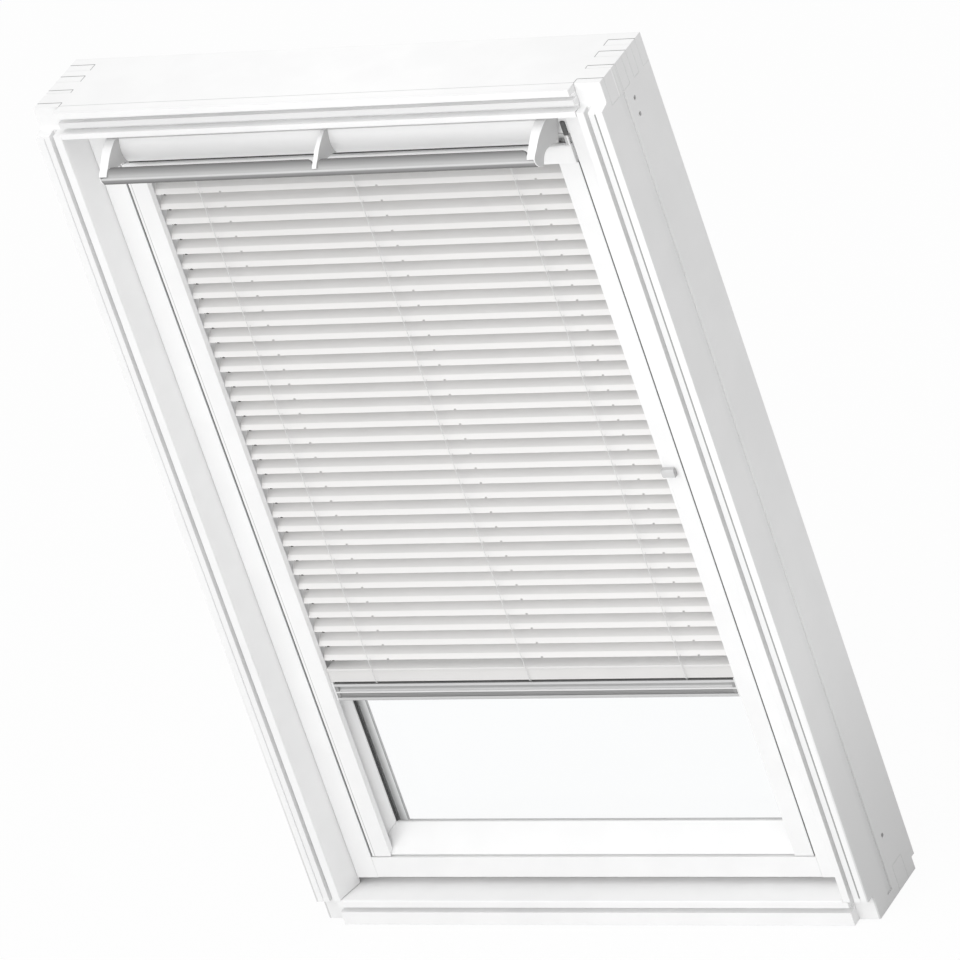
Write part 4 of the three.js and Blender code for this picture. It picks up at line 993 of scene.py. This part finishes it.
# painted light: the foot's rubber is a pale grey, lighter than the black at the sides and top, for the light on its
# upward face
rubber = block(69.6, GASKET_BACK, SIGHT_FOOT, SIGHT_FOOT + 0.5)
across("glazing_gasket_foot", lit_foot_rubber, rubber, SIGHT, "sash", "cover_grey")


def oblong(half, foot, top, depth):
    """A ring of four corners, for a member that goes round the glass."""
    return [(x, depth, height) for x, height in ((-half, foot), (half, foot), (half, top), (-half, top))]


inner = (SIGHT - 1.9, SIGHT_FOOT - 12, SIGHT_TOP - 1.9)
outer = (SIGHT + 11.6, SIGHT_FOOT - 13.8, SIGHT_TOP + 11.6)
rings = [oblong(*size, depth) for size, depth in (
    (outer, SPACER_NEAR), (inner, SPACER_NEAR), (inner, SPACER_FAR), (outer, SPACER_FAR))]
fitted("spacer_bars", carried("spacer_bars", spacer_metal, rings, endless=True), "sash", "spacer_metal",
       "glass_spacer")

# Outside cover: its members hold the outer pane, and the lower one stands below the glass's foot
COVER_EDGE = 1.5
COVER_ROWS = ((0, COVER_NEAR), (0, COVER_BACK - COVER_EDGE), (COVER_EDGE, COVER_BACK))
cover_ring_metal = cover_finish("cover_ring_metal", SIGHT + 5, SIGHT_FOOT - 25, SIGHT_TOP + 2.2)
rings = [oblong(COVER_HALF - inset, COVER_FOOT + inset, COVER_TOP - inset, depth) for inset, depth in COVER_ROWS]
rings += [oblong(SIGHT + 3 + inset, SIGHT_FOOT - 23 - inset, SIGHT_TOP + 0.15 + inset, depth)
          for inset, depth in reversed(COVER_ROWS)]
fitted("outside_cover_ring", carried("outside_cover_ring", cover_ring_metal, rings, endless=True), "sash",
       "cover_grey", "sash_outside_cover")

# Tilt knob: a rounded cap on its clip, in front of the brush that closes its slot
cap_back = sides_of("blind_channel_right", Y)[0] - FIT
knob_left, knob_right = sides_of("tilt_knob", X)
knob_near, knob_back = sides_of("tilt_knob", Y)
knob_foot, knob_top = sides_of("tilt_knob", Z)
cap_section = [(cap_back, knob_foot), (cap_back, knob_top), (knob_near + 1.6, knob_top), (knob_near, knob_top - 3.2),
               (knob_near, knob_foot + 2.4), (knob_near + 1.2, knob_foot)]
cap = along_x("tilt_knob_cap", knob_plastic, cap_section, knob_left, knob_right)
softened(fitted("tilt_knob_cap", cap, "tilt_knob", "knob_grey", "tilt_knob"), 2.1, 4, 20)
clip_x, clip_height = knob_left + 5.4, (knob_foot + knob_top) / 2
clip = along_x("tilt_knob_clip", knob_plastic, block(cap_back - 1, knob_back, clip_height - 3, clip_height + 3),
               clip_x - 1.2, clip_x + 1.2)
fitted("tilt_knob_clip", clip, "tilt_knob", "knob_grey")
# The slot runs 48 mm further down than the resting clip and 16 mm further up
slot_foot, slot_top = clip_height - 3.3 - 48, clip_height + 3.3 + 16
brush_section = block(cap_back + 0.35, cap_back + 1.3, slot_foot + 0.1, slot_top - 0.1)
brush = along_x("knob_slot_brush", channel_white, brush_section, clip_x - 1.45, clip_x + 1.45)
fitted("knob_slot_brush", brush, "sash", "white_plastic")

# Screws in the side holes and pins in the head's top
HOLE_HEIGHTS = (80.7, TOP_MM - 56.8, TOP_MM - 78.5)
HOLE_DEPTH, SCREW_INSET, PIN_INSET = 75.5, 2.8, 0.17
PIN_PLACES = ((335.5, 32.5), (357, 35.6), (-336.5, 33), (-360, 35), (-313.6, 24.3))
holes = [(hand * (HALF_WIDTH_MM - SCREW_INSET), HOLE_DEPTH, height) for _, hand in SIDES for height in HOLE_HEIGHTS]
screws = formed("hole_screws", stud_former("hole_screws", pivot_metal, 12), marks("holes", *holes),
                Radius=2.7 * MM, Thickness=1.2 * MM, Length=1.0, Turn=math.pi / 2)
fitted("hole_screws", screws, "frame", "pivot_steel")
pins = formed("head_pins", stud_former("head_pins", pin_grey, 10),
              marks("pins", *[(x, depth, TOP_MM - PIN_INSET) for x, depth in PIN_PLACES]),
              Radius=1.5 * MM, Thickness=0.3 * MM, Length=1.6, Turn=0.0)
fitted("head_pins", pins, "frame", "pivot_steel")

# Floor and backdrop: white to the camera, in gloss and through glass, with the window's shadow kept
FILL_STRENGTH = 0.625
FLOOR_TONE, FLOOR_WHITENESS, FLOOR_HALF, FLOOR_DROP = 0.93, 0.95, 30.0, 0.002
WHITE = (1, 1, 1, 1)


def seen_rays(bench):
    """1 for a ray from the camera, from gloss or through glass, and 0 for one that only lights."""
    camera, gloss, glass = [bench.add("ShaderNodeLightPath", output=f"Is {kind} Ray")
                            for kind in ("Camera", "Glossy", "Transmission")]
    return camera.most(gloss).most(glass)


def make_floor():
    kit = Kit("studio_floor")
    matt = kit.add("ShaderNodeBsdfDiffuse", None, {"Color": grey(FLOOR_TONE)})
    white = kit.add("ShaderNodeEmission", None, {"Color": WHITE, "Strength": 1.0})
    mixed = kit.add("ShaderNodeMixShader", None, [seen_rays(kit) * FLOOR_WHITENESS, matt, white])
    kit.feed(kit.output.inputs["Surface"], mixed)
    return kit.material


def make_world():
    world = bpy.data.worlds.new("studio")
    bpy.context.scene.world = world
    world.use_nodes = True
    bench = Bench(world.node_tree)
    bench.tree.nodes.clear()
    output = bench.tree.nodes.new("ShaderNodeOutputWorld")
    fill, backdrop = [bench.add("ShaderNodeBackground", None, {"Color": WHITE, "Strength": strength})
                      for strength in (FILL_STRENGTH, 1.0)]
    bench.feed(output.inputs["Surface"], bench.add("ShaderNodeMixShader", None, [seen_rays(bench), fill, backdrop]))


make_world()
corners = [(x * FLOOR_HALF, y * FLOOR_HALF, 0) for x, y in ((-1, -1), (1, -1), (1, 1), (-1, 1))]
floor_mesh = drawn_mesh("studio_floor", corners, faces=[(0, 1, 2, 3)])
floor_mesh.materials.append(make_floor())
floor_object = in_scene("studio_floor", floor_mesh)
floor_object.location.z = cad_box[0][2] - FLOOR_DROP


def add_lamp(name, kind, toward, energy, **settings):
    lamp = bpy.data.lights.new(name, kind)
    lamp.energy = energy
    for key, value in settings.items():
        setattr(lamp, key, value)
    lamp_object = in_scene(name, lamp)
    lamp_object.rotation_euler = Vector(toward).to_track_quat("-Z", "Y").to_euler()
    return lamp_object


add_lamp("key_sun", "SUN", (0.45, 0.8, -0.62), 0.42, angle=math.radians(30))
add_lamp("top_sun", "SUN", (0.1, 0.25, -0.9), 0.4, angle=math.radians(40))
# Soft square lamps that the camera doesn't see
for name, place, toward, width, power in (
        ("front_panel", (0.42, FRONT_Y - 1.8, 1.1), (-0.23, 1, -0.28), 1.0, 11.2),
        ("top_panel", (0.0, 0.0, cad_box[1][2] + 0.8), (0, 0, -1), 0.8, 2.2)):
    panel = add_lamp(name, "AREA", toward, power, shape="SQUARE", size=width)
    panel.location = place
    panel.visible_camera = False

# Camera at the photograph's viewing angle
FOCAL_PIXELS = 10241.8
camera_data = bpy.data.cameras.new("photo_camera")
camera_data.sensor_width = 36
camera_data.lens = FOCAL_PIXELS / IMAGE_SIDE * camera_data.sensor_width
camera_data.shift_x = -0.0056
camera_data.shift_y = 0.0026
camera_data.clip_start = 0.5
camera_data.clip_end = 60
camera = in_scene("photo_camera", camera_data)
camera.location = (6.30534, FRONT_Y - 8.85417, 6.26683)
camera.rotation_euler = Euler([math.radians(angle) for angle in (61.1965, 17.0703, 26.0190)], "XYZ")
bpy.context.scene.camera = camera
bpy.context.scene.view_settings.view_transform = "Standard"
